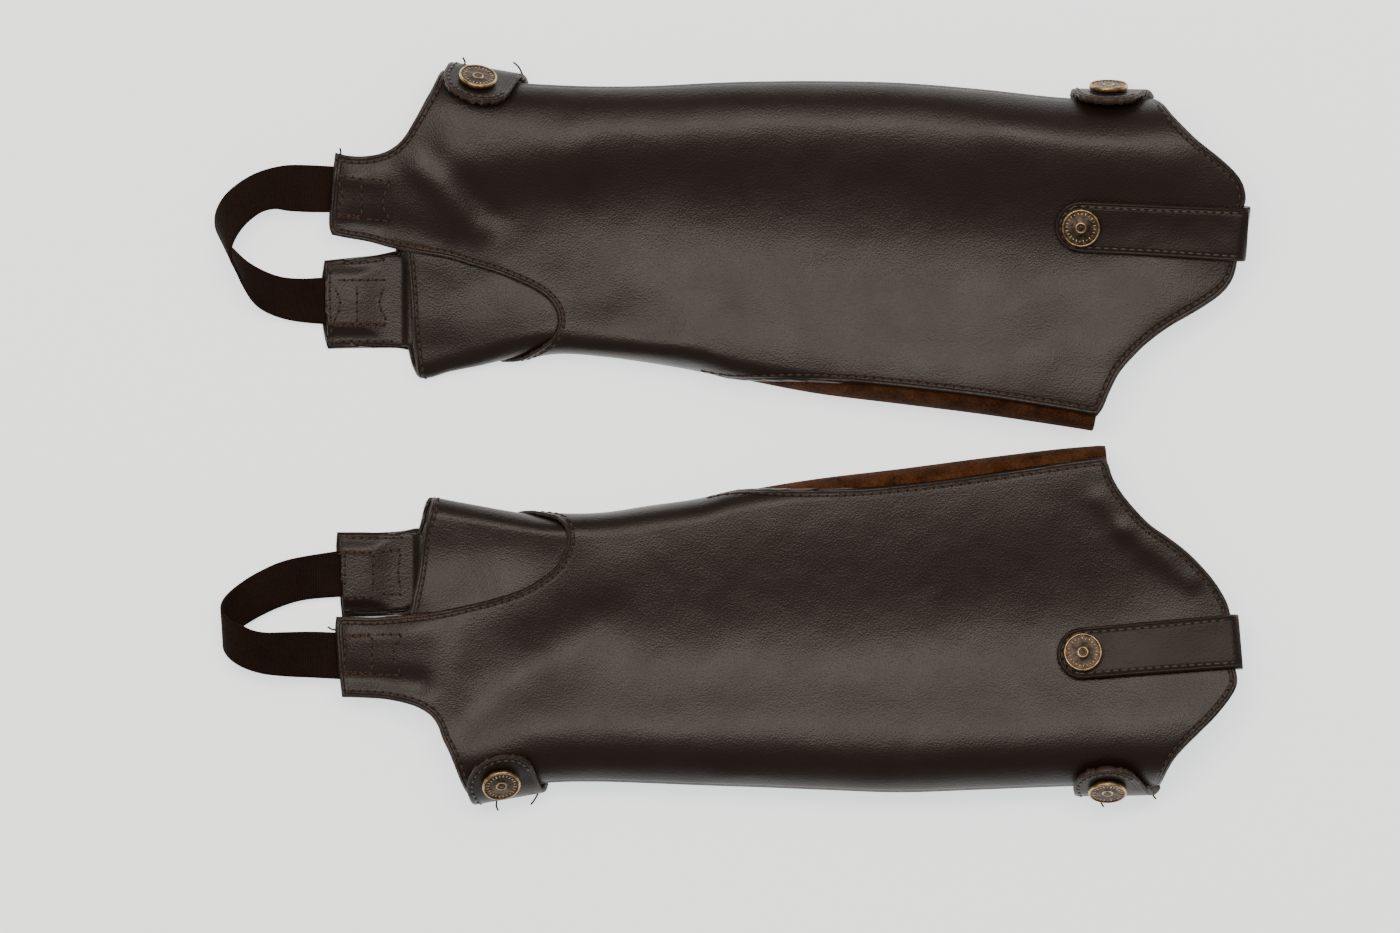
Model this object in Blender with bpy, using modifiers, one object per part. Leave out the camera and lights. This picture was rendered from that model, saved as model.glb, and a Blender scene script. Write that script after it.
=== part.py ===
"""Pair of leather riding gaiters, laid flat side by side with their outer sides up.

Each gaiter is a closed tube of cloth walls around the shape of an empty leg. Its sections run
across the leg, from the zip at the back, over the top, round the front fold and back along the
flat underside. A place on the tube is given by x along the leg, by q round the section and by w
outwards from the leather's outer face:

    q -1..0  lower half of the zip roll      q 2..3  front fold, from the top to the underside
    q  0..1  upper half of the zip roll      q 3..4  flat underside
    q  1..2  top                             q 4..5  the lower zip roll again

Tables are in millimetres. u is the distance from the line between the two gaiters.
"""
import math
from collections import namedtuple

import bpy
import numpy as np
from mathutils import Matrix, Vector
from mathutils.geometry import delaunay_2d_cdt

MM = 0.001

# Walls and gaps
LEATHER = 2.0
SUEDE = 1.6
FACING = 1.6
STRAP = 2.6
TAB = 3.6
ELASTIC = 1.5
TAPE = 0.8
CHAIN = 1.0
PULLER = 0.8
GAP = 0.3
LAP_GAP = 0.9
INSET_GAP = 1.3
TAB_CLEARANCE = 0.8

# Rolls at the two sides of a section
ROLL = 22.0
ROLL_UNDER = 10.0
ROLL_LOW = 0.38
FOLD = 11.0
FOLD_UNDER = 8.0
FOLD_LOW = 0.47
DIP_AT = 0.4
DIP_PEAK = DIP_AT**2 * (1 - DIP_AT) ** 3
SEAM_IN = 4.0
SEAM_GAP = 0.6

# Edges round the zip roll, as q
ZIP_TOP = 0.155
ZIP_BASE = 4.755
ZIP_WIDTH = 8.9
TAPE_SPAN = (-0.5, 0.4)
CHAIN_SPAN = (-0.17, 0.07)
TAB_BASE = -0.44

# Poppers, straps and elastic
POPPER_R = 8.75
POPPER_H = 3.0
POPPER_LIP = 0.7
POPPER_RIM = 2.0
POPPER_DISH = 0.5
POPPER_FOOT = 0.9
POPPER_SIDES = 18
HEAD_R = 15.5
HEAD_ANGLES = (16, 32, 46, 58, 68)
STRAP_HALF = 11.8
STRAP_FLARE = 0.6
STRAP_TUCK = 22.0
SLIDER_HALF = 3.4
SLIDER_LONG = 10.0
PULLER_HALF = 2.5
PULLER_LONG = 20.0
PARKED_PAST_TAB = 6.0
CHAIN_ENDS = (3.0, 4.0)
PANEL_PAST_ZIP = 2.0
SEAM_BACK = 6.0

# Mesh spacing
OUTLINE_STEP = 6.0
OUTLINE_LEAST = 0.8
INNER_FROM_EDGE = 3.3
ANKLE_STEP = 6.5
CALF_STEP = 13.0
KNEE_STEP = 9.1
ZIP_STEP = 20.0
ANKLE_END = -64.0
KNEE_FOLDS = 150.0
FLAT_SPAN = (30.0, 104.0, 28.0, 108.0, 18.0)
BENT_ROWS = (5, 10, 9, 4, 4)
PLAIN_ROWS = (5, 5, 8, 2, 4)
CAP_ROWS = (5, 10, 9, 2, 4)
FACING_ROWS = (5, 20, 6, 20, 4)

Section = namedtuple("Section", "x zip_u front_u zip_h mid_h front_h")
Fold = namedtuple("Fold", "x0 u0 x1 u1 half_width height")
Tab = namedtuple("Tab", "x tilt reach head_p left_p right_p")
Strap = namedtuple("Strap", "x u end_x end_u rim_x_low rim_x_high")
Band = namedtuple("Band", "x1 u1 z1 x2 u2 z2")
Cut = namedtuple("Cut", "foot_edge tab_end scallop fold_rim front_tip front_edge knee_edge")
Hidden = namedtuple("Hidden", "foot_edge tab_front tab_end tab_back knee_edge seam_start")
BandEnds = namedtuple("BandEnds", "outer inner")
Gaiter = namedtuple(
    "Gaiter",
    "name side sections folds cut hidden cap gusset facings strap tabs band band_ends zip_span",
)

RIGHT_SECTIONS = [
    Section(-184, 162.0, 25.0, 14.0, 12.2, 9.0),
    Section(-152, 163.0, 23.5, 20.0, 17.0, 11.5),
    Section(-138.5, 164.0, 22.0, 22.0, 18.8, 13.0),
    Section(-127.5, 163.0, 25.0, 24.0, 20.3, 13.5),
    Section(-114, 160.5, 27.7, 25.0, 19.5, 15.5),
    Section(-98, 158.2, 31.5, 26.0, 19.8, 17.5),
    Section(-80, 157.0, 35.0, 27.0, 20.0, 20.0),
    Section(-60, 156.4, 34.0, 27.5, 20.5, 21.5),
    Section(-37.5, 156.6, 31.0, 28.0, 21.0, 23.0),
    Section(-15, 157.7, 27.0, 29.0, 21.5, 24.0),
    Section(-3.5, 158.2, 23.5, 29.5, 21.5, 24.5),
    Section(12, 158.6, 20.0, 30.0, 22.0, 25.0),
    Section(39, 158.8, 15.0, 30.5, 22.5, 25.5),
    Section(75, 158.0, 10.5, 31.5, 23.0, 26.5),
    Section(111, 155.2, 6.0, 32.0, 23.0, 27.0),
    Section(147, 151.4, 0.7, 32.0, 23.0, 27.0),
    Section(170, 150.5, -3.0, 32.0, 23.0, 26.5),
    Section(192, 150.8, -6.8, 32.0, 23.5, 26.0),
    Section(235, 150.8, -12.6, 29.5, 22.5, 24.0),
]
LEFT_SECTIONS = [
    Section(-184, 164.3, 23.0, 14.0, 12.2, 9.0),
    Section(-145, 164.7, 25.0, 20.5, 17.5, 12.0),
    Section(-135, 164.7, 27.0, 22.0, 18.8, 13.0),
    Section(-125, 164.5, 29.0, 23.5, 20.0, 13.5),
    Section(-114, 163.5, 31.0, 25.0, 19.5, 15.5),
    Section(-100, 161.0, 33.5, 26.0, 19.8, 17.5),
    Section(-82, 158.6, 36.2, 27.0, 20.0, 20.0),
    Section(-60, 158.2, 36.2, 27.5, 20.5, 21.5),
    Section(-37.5, 158.9, 33.0, 28.0, 21.0, 23.0),
    Section(-15, 159.8, 29.7, 29.0, 21.5, 24.0),
    Section(-3.5, 160.2, 26.3, 29.5, 21.5, 24.5),
    Section(12, 160.7, 23.0, 30.0, 22.0, 25.0),
    Section(39, 161.8, 18.7, 30.5, 22.5, 25.5),
    Section(75, 163.0, 14.4, 31.5, 23.0, 26.5),
    Section(111, 161.8, 9.7, 32.0, 23.0, 27.0),
    Section(147, 160.4, 5.4, 32.0, 23.0, 27.0),
    Section(170, 159.8, 3.4, 32.0, 23.0, 26.5),
    Section(194, 159.8, 0.5, 32.0, 23.5, 26.0),
    Section(233, 159.8, -3.6, 29.5, 22.5, 24.0),
]

RIGHT_FOLDS = [
    Fold(-143, 122, -114, 89, 4.5, 1.8),
    Fold(-139, 127, -105, 91, 5.0, -1.8),
    Fold(-152, 106, -130, 88, 8.0, -1.5),
    Fold(-78, 59, -37, 47, 14.0, -2.2),
    Fold(154, 20, 199, 54, 9.0, -2.0),
]
LEFT_FOLDS = [
    Fold(-136, 116, -96, 80, 9.0, -2.5),
    Fold(-90, 98, -50, 98, 18.0, 1.5),
    Fold(163, 31, 200, 64, 8.0, -1.5),
    Fold(156, 42, 186, 66, 9.0, 1.5),
]

# Outline of the outer panel as it is seen from above, run by run from the zip at the foot
RIGHT_CUT = Cut(
    foot_edge=[
        (-130.5, 163.2), (-134.6, 156.6), (-139, 148.5), (-143.6, 140), (-148, 132.8),
        (-152.6, 128.3), (-158, 125.6), (-165.6, 124.2), (-173, 124.4), (-179, 125.8),
    ],
    tab_end=[(-179, 125.8), (-180, 118), (-181.4, 104.4), (-181.8, 93.2), (-180.5, 88.7)],
    scallop=[
        (-180.5, 88.7), (-174.6, 87.5), (-163.4, 85.5), (-152.1, 82.4), (-136.4, 79.4),
        (-118.4, 75), (-104.9, 70.9), (-91.4, 65.3), (-83.3, 60), (-79.4, 54),
        (-79, 48.2), (-81.5, 42.3), (-86.9, 37.4),
    ],
    fold_rim=[(-98, 2.5), (-107, 2.8)],
    front_tip=[(-51, 3.0), (-33, 2.8), (-15, 2.5)],
    front_edge=[
        (3.2, 23), (12.2, 22.6), (30.2, 22.4), (52.7, 21.6), (75.2, 19.8), (97.7, 17.3),
        (120.2, 14.4), (142.7, 10.8), (163.8, 7),
    ],
    knee_edge=[
        (163.8, 7), (166.5, 10.8), (169.7, 18.5), (174.2, 27), (180.9, 34.7), (187.7, 41),
        (196.7, 47.5), (210.2, 55.4), (219.2, 61.7), (224.1, 67.5), (226.4, 73.8),
        (227.2, 80), (228.2, 88), (228.8, 97), (230.5, 103), (230.8, 106),
        (229.5, 111.6), (225.9, 117), (219.2, 123.3), (210.2, 130.5), (203.4, 137),
        (197.6, 143.2), (193.5, 148),
    ],
)
LEFT_CUT = Cut(
    foot_edge=[
        (-118.4, 163.8), (-121, 160.7), (-123.8, 154.4), (-126.9, 146.3), (-130.5, 138.6),
        (-132.8, 132.3), (-135.9, 127.8), (-140.9, 124.4), (-147.6, 122), (-156.6, 120.2),
        (-167.9, 119.5), (-176, 119.3),
    ],
    tab_end=[(-176, 119.3), (-176.9, 111.6), (-178.2, 100.4), (-179.1, 89.1), (-178.6, 83)],
    scallop=[
        (-178.6, 83), (-174.6, 83), (-161.1, 83.2), (-147.6, 82.1), (-136.4, 81),
        (-122.9, 78.5), (-109.4, 75.4), (-98.1, 72), (-89.1, 67.7), (-81, 61.7),
        (-76.5, 55.4), (-74.5, 48.6), (-75.6, 42.6), (-79.5, 38.2),
    ],
    fold_rim=[(-90, 2.5), (-99, 2.8)],
    front_tip=[(-51, 3.0), (-33, 2.8), (-13, 2.5)],
    front_edge=[
        (5.4, 25.2), (14, 25), (30.2, 25.2), (52.7, 25), (75.2, 23.4), (97.7, 20.9),
        (120.2, 17.6), (142.7, 14.2), (160.7, 11.7), (167.4, 10.8),
    ],
    knee_edge=[
        (167.4, 10.8), (169.2, 15.3), (171, 20.7), (175, 27.5), (180.9, 34.7), (187.7, 41.6),
        (195.8, 47.3), (203.4, 53.1), (210.2, 59.6), (216.9, 67.5), (221.8, 75.6),
        (223.6, 81), (224.8, 88), (225.6, 97), (225.9, 105), (226.9, 110), (226.4, 115),
        (222.8, 121), (216.5, 128.7), (210.2, 135), (203.9, 141.3), (198.5, 147.6),
        (194.9, 153.9),
    ],
)

# Outline of the inner panel, which the outer one covers but for the tab at the foot
RIGHT_HIDDEN = Hidden(
    foot_edge=[(-129, 152), (-132, 145), (-139, 130), (-145, 112), (-149, 95), (-152, 81.5)],
    tab_front=[(-152, 81.5), (-161, 79.7), (-172.4, 78.5), (-184, 77.3)],
    tab_end=[(-184, 77.3), (-185.4, 66.2), (-185, 50.4), (-183.6, 41.4), (-182.3, 37.4)],
    tab_back=[(-182.3, 37.4), (-172.4, 37.6), (-158.9, 37.8), (-149.9, 37.6), (-146.5, 36.9)],
    knee_edge=[(160, 20), (166, 35), (172, 62), (178, 95), (184, 125)],
    seam_start=-112,
)
LEFT_HIDDEN = Hidden(
    foot_edge=[(-118, 152), (-121, 143), (-128, 128), (-135, 110), (-141, 92), (-146, 79.7)],
    tab_front=[(-146, 79.7), (-161, 81.2), (-176, 81.6)],
    tab_end=[(-176, 81.6), (-176.6, 77.9), (-177.8, 64.4), (-178.7, 52.2), (-178.2, 45)],
    tab_back=[(-178.2, 45), (-167, 45), (-158.9, 45.1), (-149, 44.4), (-142.5, 43.2)],
    knee_edge=[(163, 23), (170, 40), (176, 66), (182, 98), (187, 130)],
    seam_start=-104,
)

# Instep cap: hem on top, over the fold and underneath, then the edge sewn inside the panels
RIGHT_CAP = {
    "hem": [(-147, 89), (-147, 80), (-145.6, 64), (-144.6, 46), (-143.6, 36)],
    "hem_fold": [(-142.3, 2.25), (-141, 2.5), (-142.5, 2.75)],
    "hem_under": [(-146, 36), (-148, 46)],
    "under": [(-148, 46), (-130, 48), (-112, 50), (-96, 50)],
    "back_fold": [(-80, 3.0), (-72, 2.75), (-68, 2.5), (-66, 2.2)],
    "over": [(-66, 50), (-69, 59), (-77, 67), (-91, 72.5), (-105, 77.5), (-120, 82), (-147, 89)],
}
LEFT_CAP = {
    "hem": [(-146, 89), (-145.4, 79.5), (-142, 64), (-139.5, 46), (-137.2, 38)],
    "hem_fold": [(-136, 2.25), (-135.4, 2.5), (-137.5, 2.75)],
    "hem_under": [(-141, 42), (-144, 50)],
    "under": [(-144, 50), (-126, 52), (-108, 54), (-92, 54)],
    "back_fold": [(-76, 3.0), (-68, 2.75), (-64, 2.5), (-62, 2.2)],
    "over": [(-62, 50), (-65, 60), (-74, 69), (-90, 75), (-106, 80), (-122, 84.5), (-146, 89)],
}

# Suede gusset: the edge under the leather, the knee end, then the edge on the inner panel
RIGHT_GUSSET = {
    "tip": [(-14, 2.52), (-5, 2.3)],
    "top": [(8, 30.5), (30, 30), (75, 27.5), (120, 22), (164.5, 14.6)],
    "end_top": [(164.5, 15), (163.6, 7)],
    "end_fold": [(161.8, 2.5)],
    "end_under": 159.5,
}
LEFT_GUSSET = {
    "tip": [(-14, 2.52), (-5, 2.3)],
    "top": [(8, 33), (30, 33), (75, 31), (120, 25.4), (169.3, 18.2)],
    "end_top": [(169.3, 18.6), (168.2, 10.5)],
    "end_fold": [(167.2, 2.5)],
    "end_under": 163.0,
}
GUSSET_LAP = 8.0

RIGHT_FACINGS = {
    "outer": [(-178, 123), (-179.6, 105), (-179.4, 91), (-166, 88.5), (-153, 86), (-153, 105),
              (-154, 124.5), (-166, 122)],
    "inner": [(-183, 75.8), (-184, 60), (-182, 39), (-166, 39), (-151, 39), (-151, 60),
              (-152, 79.6), (-168, 77.4)],
}
LEFT_FACINGS = {
    "outer": [(-175, 117.8), (-176.6, 101), (-177.3, 85), (-163, 85), (-149, 84.4), (-149, 102),
              (-150, 119), (-163, 118)],
    "inner": [(-175.5, 80), (-176.6, 64), (-177, 46.6), (-162, 46.6), (-147, 46), (-147, 63),
              (-148, 78.4), (-162, 79.6)],
}
FACING_RIM = 3.5
FACING_MARGIN = 4.0

RIGHT_STRAP = Strap(156.6, 92.7, 232.6, 88.8, 226.6, 229.0)
LEFT_STRAP = Strap(157.5, 99.9, 229.0, 94.0, 223.4, 225.8)

RIGHT_TABS = {
    "ankle": Tab(-112.0, 57.0, 7.0, -3.0, -12.5, 17.0),
    "knee": Tab(169.0, 76.0, 0.0, 0.0, -14.5, 17.5),
}
LEFT_TABS = {
    "ankle": Tab(-103.5, 44.0, 3.6, -1.0, -11.0, 20.5),
    "knee": Tab(169.0, 61.0, 1.3, -0.5, -13.0, 20.0),
}

# Both edges of the foot elastic, from the outer tab round the loop to the inner tab
RIGHT_BAND = [
    Band(-192.6, 120.2, 10.8, -192.6, 99.0, 9.8),
    Band(-202.0, 120.0, 12.0, -200.3, 99.5, 12.5),
    Band(-212.0, 117.5, 11.8, -206.0, 100.4, 14.5),
    Band(-220.5, 113.2, 11.0, -212.0, 99.0, 16.0),
    Band(-228.2, 106.7, 9.5, -217.8, 95.0, 17.0),
    Band(-232.2, 99.5, 7.8, -222.3, 90.0, 17.8),
    Band(-232.6, 92.7, 5.6, -225.4, 84.2, 18.2),
    Band(-230.2, 87.3, 4.2, -226.0, 78.3, 18.8),
    Band(-225.2, 82.4, 3.6, -223.4, 72.9, 18.0),
    Band(-219.2, 77.0, 3.2, -220.0, 65.7, 15.5),
    Band(-212.0, 72.9, 3.1, -215.0, 58.0, 11.5),
    Band(-203.9, 70.0, 3.05, -207.9, 53.1, 7.0),
    Band(-194.9, 69.1, 3.05, -198.0, 50.0, 3.8),
]
LEFT_BAND = [
    Band(-190.4, 110.5, 10.4, -190.4, 89.8, 9.6),
    Band(-201.6, 110.0, 12.0, -201.6, 90.0, 12.5),
    Band(-212.0, 108.7, 11.6, -210.2, 90.2, 13.8),
    Band(-220.5, 105.8, 10.5, -216.5, 89.1, 15.0),
    Band(-226.4, 101.7, 8.6, -221.4, 86.9, 15.2),
    Band(-229.0, 96.8, 6.2, -226.4, 84.6, 14.2),
    Band(-227.3, 92.3, 4.4, -230.0, 80.1, 11.6),
    Band(-221.0, 87.8, 3.5, -228.6, 74.7, 8.2),
    Band(-212.9, 83.0, 3.1, -222.8, 68.9, 5.4),
    Band(-203.0, 78.5, 3.05, -213.3, 62.8, 3.9),
    Band(-192.6, 75.6, 3.05, -200.3, 57.4, 3.2),
]
# The stretches of elastic sewn between the plies: x and both u
RIGHT_BAND_ENDS = BandEnds(
    outer=[(-167.0, 119.3, 98.4), (-173.5, 119.4, 98.5), (-180.0, 119.5, 98.6)],
    inner=[(-185.4, 69.5, 48.6), (-178.4, 69.6, 48.7), (-171.5, 69.7, 48.8)],
)
LEFT_BAND_ENDS = BandEnds(
    outer=[(-166.5, 111.4, 90.5), (-172.5, 111.2, 90.3), (-178.7, 110.9, 90.0)],
    inner=[(-178.5, 74.3, 53.6), (-172.5, 74.1, 53.4), (-167.0, 73.9, 53.2)],
)

RIGHT = Gaiter(
    "right", 1, RIGHT_SECTIONS, RIGHT_FOLDS, RIGHT_CUT, RIGHT_HIDDEN, RIGHT_CAP, RIGHT_GUSSET,
    RIGHT_FACINGS, RIGHT_STRAP, RIGHT_TABS, RIGHT_BAND, RIGHT_BAND_ENDS, (-127.0, 188.0),
)
LEFT = Gaiter(
    "left", -1, LEFT_SECTIONS, LEFT_FOLDS, LEFT_CUT, LEFT_HIDDEN, LEFT_CAP, LEFT_GUSSET,
    LEFT_FACINGS, LEFT_STRAP, LEFT_TABS, LEFT_BAND, LEFT_BAND_ENDS, (-117.0, 190.0),
)

# Finishes: colour, roughness, metallic
FINISHES = {
    "leather": ((0.045, 0.036, 0.031, 1.0), 0.42, 0.0),
    "suede": ((0.115, 0.055, 0.025, 1.0), 0.95, 0.0),
    "elastic": ((0.030, 0.020, 0.016, 1.0), 0.85, 0.0),
    "tape": ((0.020, 0.016, 0.014, 1.0), 0.80, 0.0),
    "brass": ((0.360, 0.250, 0.110, 1.0), 0.38, 1.0),
}

# Middle of the box round the pair, in the tables' millimetres
CENTRE = (0.1, -0.6)


def spline(xs, ys, x):
    """Value at x of the smooth curve through the points xs, ys."""
    x = min(max(x, xs[0]), xs[-1])
    i = int(min(max(np.searchsorted(xs, x) - 1, 0), len(xs) - 2))
    span = xs[i + 1] - xs[i]
    t = (x - xs[i]) / span
    slope = [
        (ys[min(k + 1, len(ys) - 1)] - ys[max(k - 1, 0)])
        / (xs[min(k + 1, len(xs) - 1)] - xs[max(k - 1, 0)])
        for k in (i, i + 1)
    ]
    return (
        (2 * t**3 - 3 * t**2 + 1) * ys[i]
        + (t**3 - 2 * t**2 + t) * span * slope[0]
        + (3 * t**2 - 2 * t**3) * ys[i + 1]
        + (t**3 - t**2) * span * slope[1]
    )


def smoothstep(t):
    """0 to 1 with level ends."""
    t = min(max(t, 0.0), 1.0)
    return t * t * (3 - 2 * t)


class Tube:
    """The leather's outer face of one gaiter."""

    def __init__(self, gaiter):
        self.side = gaiter.side
        self.folds = gaiter.folds
        self.columns = np.array(gaiter.sections, float).T

    def section(self, x):
        """The section at x, between the table's rows."""
        xs = self.columns[0]
        return Section(x, *(spline(xs, ys, x) for ys in self.columns[1:]))

    def fold_height(self, x, u):
        """How far the folds of the leather rise at a place on the top."""
        height = 0.0
        for fold in self.folds:
            dx, du = fold.x1 - fold.x0, fold.u1 - fold.u0
            t = ((x - fold.x0) * dx + (u - fold.u0) * du) / (dx * dx + du * du)
            t = min(max(t, 0.0), 1.0)
            away = math.hypot(x - fold.x0 - t * dx, u - fold.u0 - t * du)
            height += fold.height * math.exp(-((away / fold.half_width) ** 2))
        return height

    def loop(self, x, q):
        """u and z of the leather's outer face."""
        s = self.section(x)
        if q > 4:
            q -= 5
        if q <= 0:
            angle = q * math.pi / 2
            low = ROLL_LOW * s.zip_h
            return s.zip_u - ROLL_UNDER * (1 - math.cos(angle)), low * (1 + math.sin(angle))
        if q <= 1:
            angle = q * math.pi / 2
            low = ROLL_LOW * s.zip_h
            return s.zip_u - ROLL * (1 - math.cos(angle)), low + (s.zip_h - low) * math.sin(angle)
        if q <= 2:
            t = q - 1
            u = (s.zip_u - ROLL) * (1 - t) + (s.front_u + FOLD) * t
            fall = s.zip_h - s.front_h
            dip = s.mid_h - s.zip_h + fall * smoothstep(DIP_AT)
            z = s.zip_h - fall * smoothstep(t) + dip * t**2 * (1 - t) ** 3 / DIP_PEAK
            edge = smoothstep(min(t, 1 - t) * 12)
            return u, z + edge * self.fold_height(x, u)
        low = FOLD_LOW * s.front_h
        if q <= 2.5:
            angle = (2.5 - q) * math.pi
            return s.front_u + FOLD * (1 - math.cos(angle)), low + (s.front_h - low) * math.sin(angle)
        if q <= 3:
            angle = (q - 2.5) * math.pi
            return s.front_u + FOLD_UNDER * (1 - math.cos(angle)), low * (1 - math.sin(angle))
        t = q - 3
        return (s.front_u + FOLD_UNDER) * (1 - t) + (s.zip_u - ROLL_UNDER) * t, 0.0

    def over(self, x, u):
        """q of the point of the upper face that lies at u."""
        s = self.section(x)
        if u > s.zip_u - ROLL:
            return math.acos(min((u - s.zip_u + ROLL) / ROLL, 1.0)) / (math.pi / 2)
        if u < s.front_u + FOLD:
            return 2.5 - math.acos(min((s.front_u + FOLD - u) / FOLD, 1.0)) / math.pi
        return 1 + (s.zip_u - ROLL - u) / (s.zip_u - ROLL - s.front_u - FOLD)

    def under(self, x, u):
        """q of the point of the flat underside, or of the lower zip roll, that lies at u."""
        s = self.section(x)
        start, end = s.front_u + FOLD_UNDER, s.zip_u - ROLL_UNDER
        if u > end:
            return 5 - math.acos(min((u - end) / ROLL_UNDER, 1.0)) / (math.pi / 2)
        return 3 + max(u - start, 0.0) / (end - start)

    def seam(self, x, inwards):
        """q of the seam under the front fold."""
        return self.under(x, self.section(x).front_u + FOLD_UNDER + SEAM_IN + inwards)

    def outwards(self, x, q):
        """Unit vector out of the face within its section, as u and z."""
        step = 0.004
        u0, z0 = self.loop(x, q - step)
        u1, z1 = self.loop(x, q + step)
        length = math.hypot(u1 - u0, z1 - z0)
        return (z1 - z0) / length, (u0 - u1) / length

    def point(self, x, q, w=0.0):
        """The place at x and q, w outwards from the leather's outer face, in metres."""
        u, z = self.loop(x, q)
        nu, nz = self.outwards(x, q)
        return self.place(x, u + w * nu, z + w * nz)

    def place(self, x, u, z):
        """Table millimetres to the part's metres."""
        return Vector(((x - CENTRE[0]) * MM, (self.side * u - CENTRE[1]) * MM, z * MM))

    def normal(self, x, q):
        """Unit normal of the outer face."""
        along = self.point(x + 1.0, q) - self.point(x - 1.0, q)
        across = self.point(x, q + 0.01) - self.point(x, q - 0.01)
        normal = along.cross(across).normalized()
        nu, nz = self.outwards(x, q)
        if normal.dot(Vector((0.0, self.side * nu, nz))) < 0:
            normal.negate()
        return normal


def flat(x, q):
    """Place of x and q on the cut piece spread flat, for spacing its mesh."""
    whole = int(min(max(math.floor(q), 0), 4))
    return Vector((x, sum(FLAT_SPAN[:whole]) + (q - whole) * FLAT_SPAN[whole]))


def unflat(point):
    """x and q of a place on the spread piece."""
    left = point[1]
    for whole, span in enumerate(FLAT_SPAN):
        if left <= span or whole == len(FLAT_SPAN) - 1:
            return point[0], whole + left / span
        left -= span


def smooth_run(points, step=None):
    """Points on the curve through a run, a step apart or two a span, but for its last point."""
    run = [Vector(p) for p in points]
    ends = [2 * run[0] - run[1]] + run + [2 * run[-1] - run[-2]]
    made = []
    for a, b, c, d in zip(ends, ends[1:], ends[2:], ends[3:]):
        count = max(1, round((c - b).length / step)) if step else 2
        for k in range(count):
            t = k / count
            bend = (2 * a - 5 * b + 4 * c - d) * t**2 + (3 * b - a - 3 * c + d) * t**3
            made.append(b + ((c - a) * t + bend) / 2)
    return made


def inside(point, outline):
    """Whether a point lies within a closed outline."""
    found = False
    for a, b in zip(outline, outline[1:] + outline[:1]):
        if (a.y > point.y) != (b.y > point.y):
            if point.x < a.x + (point.y - a.y) / (b.y - a.y) * (b.x - a.x):
                found = not found
    return found


def edge_distance(point, outline):
    """How far a point is from the outline's edges."""
    nearest = math.inf
    for a, b in zip(outline, outline[1:] + outline[:1]):
        edge = b - a
        t = min(max((point - a).dot(edge) / max(edge.length_squared, 1e-9), 0.0), 1.0)
        nearest = min(nearest, (point - a - t * edge).length)
    return nearest


def columns_between(low, high):
    """Places along x for a panel's inner points, closer together at the ankle and the knee."""
    places = []
    x = low
    while x < high:
        places.append(x)
        if x < ANKLE_END:
            x += ANKLE_STEP
        elif x > KNEE_FOLDS:
            x += KNEE_STEP
        else:
            x += CALF_STEP
    return places


def rows_round(rows):
    """Places round the section for a panel's inner points."""
    return [whole + (k + 0.5) / count for whole, count in enumerate(rows) for k in range(count)]


def finish(name):
    """A plain material of one of the finishes."""
    material = bpy.data.materials.get(name)
    if material is None:
        colour, roughness, metallic = FINISHES[name]
        material = bpy.data.materials.new(name)
        material.use_nodes = True
        shader = material.node_tree.nodes["Principled BSDF"]
        shader.inputs["Base Color"].default_value = colour
        shader.inputs["Roughness"].default_value = roughness
        shader.inputs["Metallic"].default_value = metallic
        material.diffuse_color = colour
    return material


def add_object(name, mesh, material, collection):
    """Put a mesh in the part's collection under a node's name."""
    mesh.materials.append(finish(material))
    mesh.shade_smooth()
    mesh.set_sharp_from_angle(angle=math.radians(40))
    thing = bpy.data.objects.new(name, mesh)
    collection.objects.link(thing)
    return thing


def thicken(thing, wall, offset=-1.0):
    """Give an open sheet its wall: -1 grows it inwards, 1 outwards, 0 both ways."""
    solidify = thing.modifiers.new("wall", "SOLIDIFY")
    solidify.thickness = wall * MM
    solidify.offset = offset
    solidify.use_even_offset = True
    solidify.use_quality_normals = True


def sheet(name, verts, faces, wall, material, collection, offset=-1.0):
    """One cloth piece: an open sheet, faces outwards, with a wall."""
    mesh = bpy.data.meshes.new(name)
    mesh.from_pydata(verts, [], faces)
    thing = add_object(name, mesh, material, collection)
    thicken(thing, wall, offset)
    return thing


def bent_panel(name, tube, runs, wall, material, collection, depth=None, rows=BENT_ROWS):
    """A panel cut to an outline of runs of x and q, and bent round the tube."""
    outline = []
    for run in runs:
        outline += smooth_run([flat(x, q) for x, q in run], OUTLINE_STEP)
    outline = [p for k, p in enumerate(outline) if (p - outline[k - 1]).length > OUTLINE_LEAST]
    points = list(outline)
    low, high = min(p.x for p in outline), max(p.x for p in outline)
    for x in columns_between(low + INNER_FROM_EDGE, high):
        for q in rows_round(rows):
            inner = flat(x, q)
            if inside(inner, outline) and edge_distance(inner, outline) > INNER_FROM_EDGE:
                points.append(inner)
    edges = [(k, (k + 1) % len(outline)) for k in range(len(outline))]
    flat_verts, _, faces, _, _, _ = delaunay_2d_cdt(points, edges, [], 1, 1e-4)
    verts = []
    for point in flat_verts:
        x, q = unflat(point)
        verts.append(tube.point(x, q, depth(x, q) if depth else 0.0))
    if tube.side > 0:
        faces = [tuple(reversed(face)) for face in faces]
    return sheet(name, verts, faces, wall, material, collection)


def grid_sheet(name, rows, wall, material, collection, side, offset):
    """A strip of rows of points, with the faces' outer side by the gaiter's side."""
    width = len(rows[0])
    verts = [p for row in rows for p in row]
    faces = []
    for r in range(len(rows) - 1):
        for c in range(width - 1):
            a = r * width + c
            face = (a, a + 1, a + width + 1, a + width)
            faces.append(face if side > 0 else tuple(reversed(face)))
    return sheet(name, verts, faces, wall, material, collection, offset)


def on_top(tube, points):
    """A run of x and u on the top as a run of x and q."""
    return [(x, tube.over(x, u)) for x, u in points]


def beneath(tube, points):
    """A run of x and u on the underside as a run of x and q."""
    return [(x, tube.under(x, u)) for x, u in points]


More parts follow.
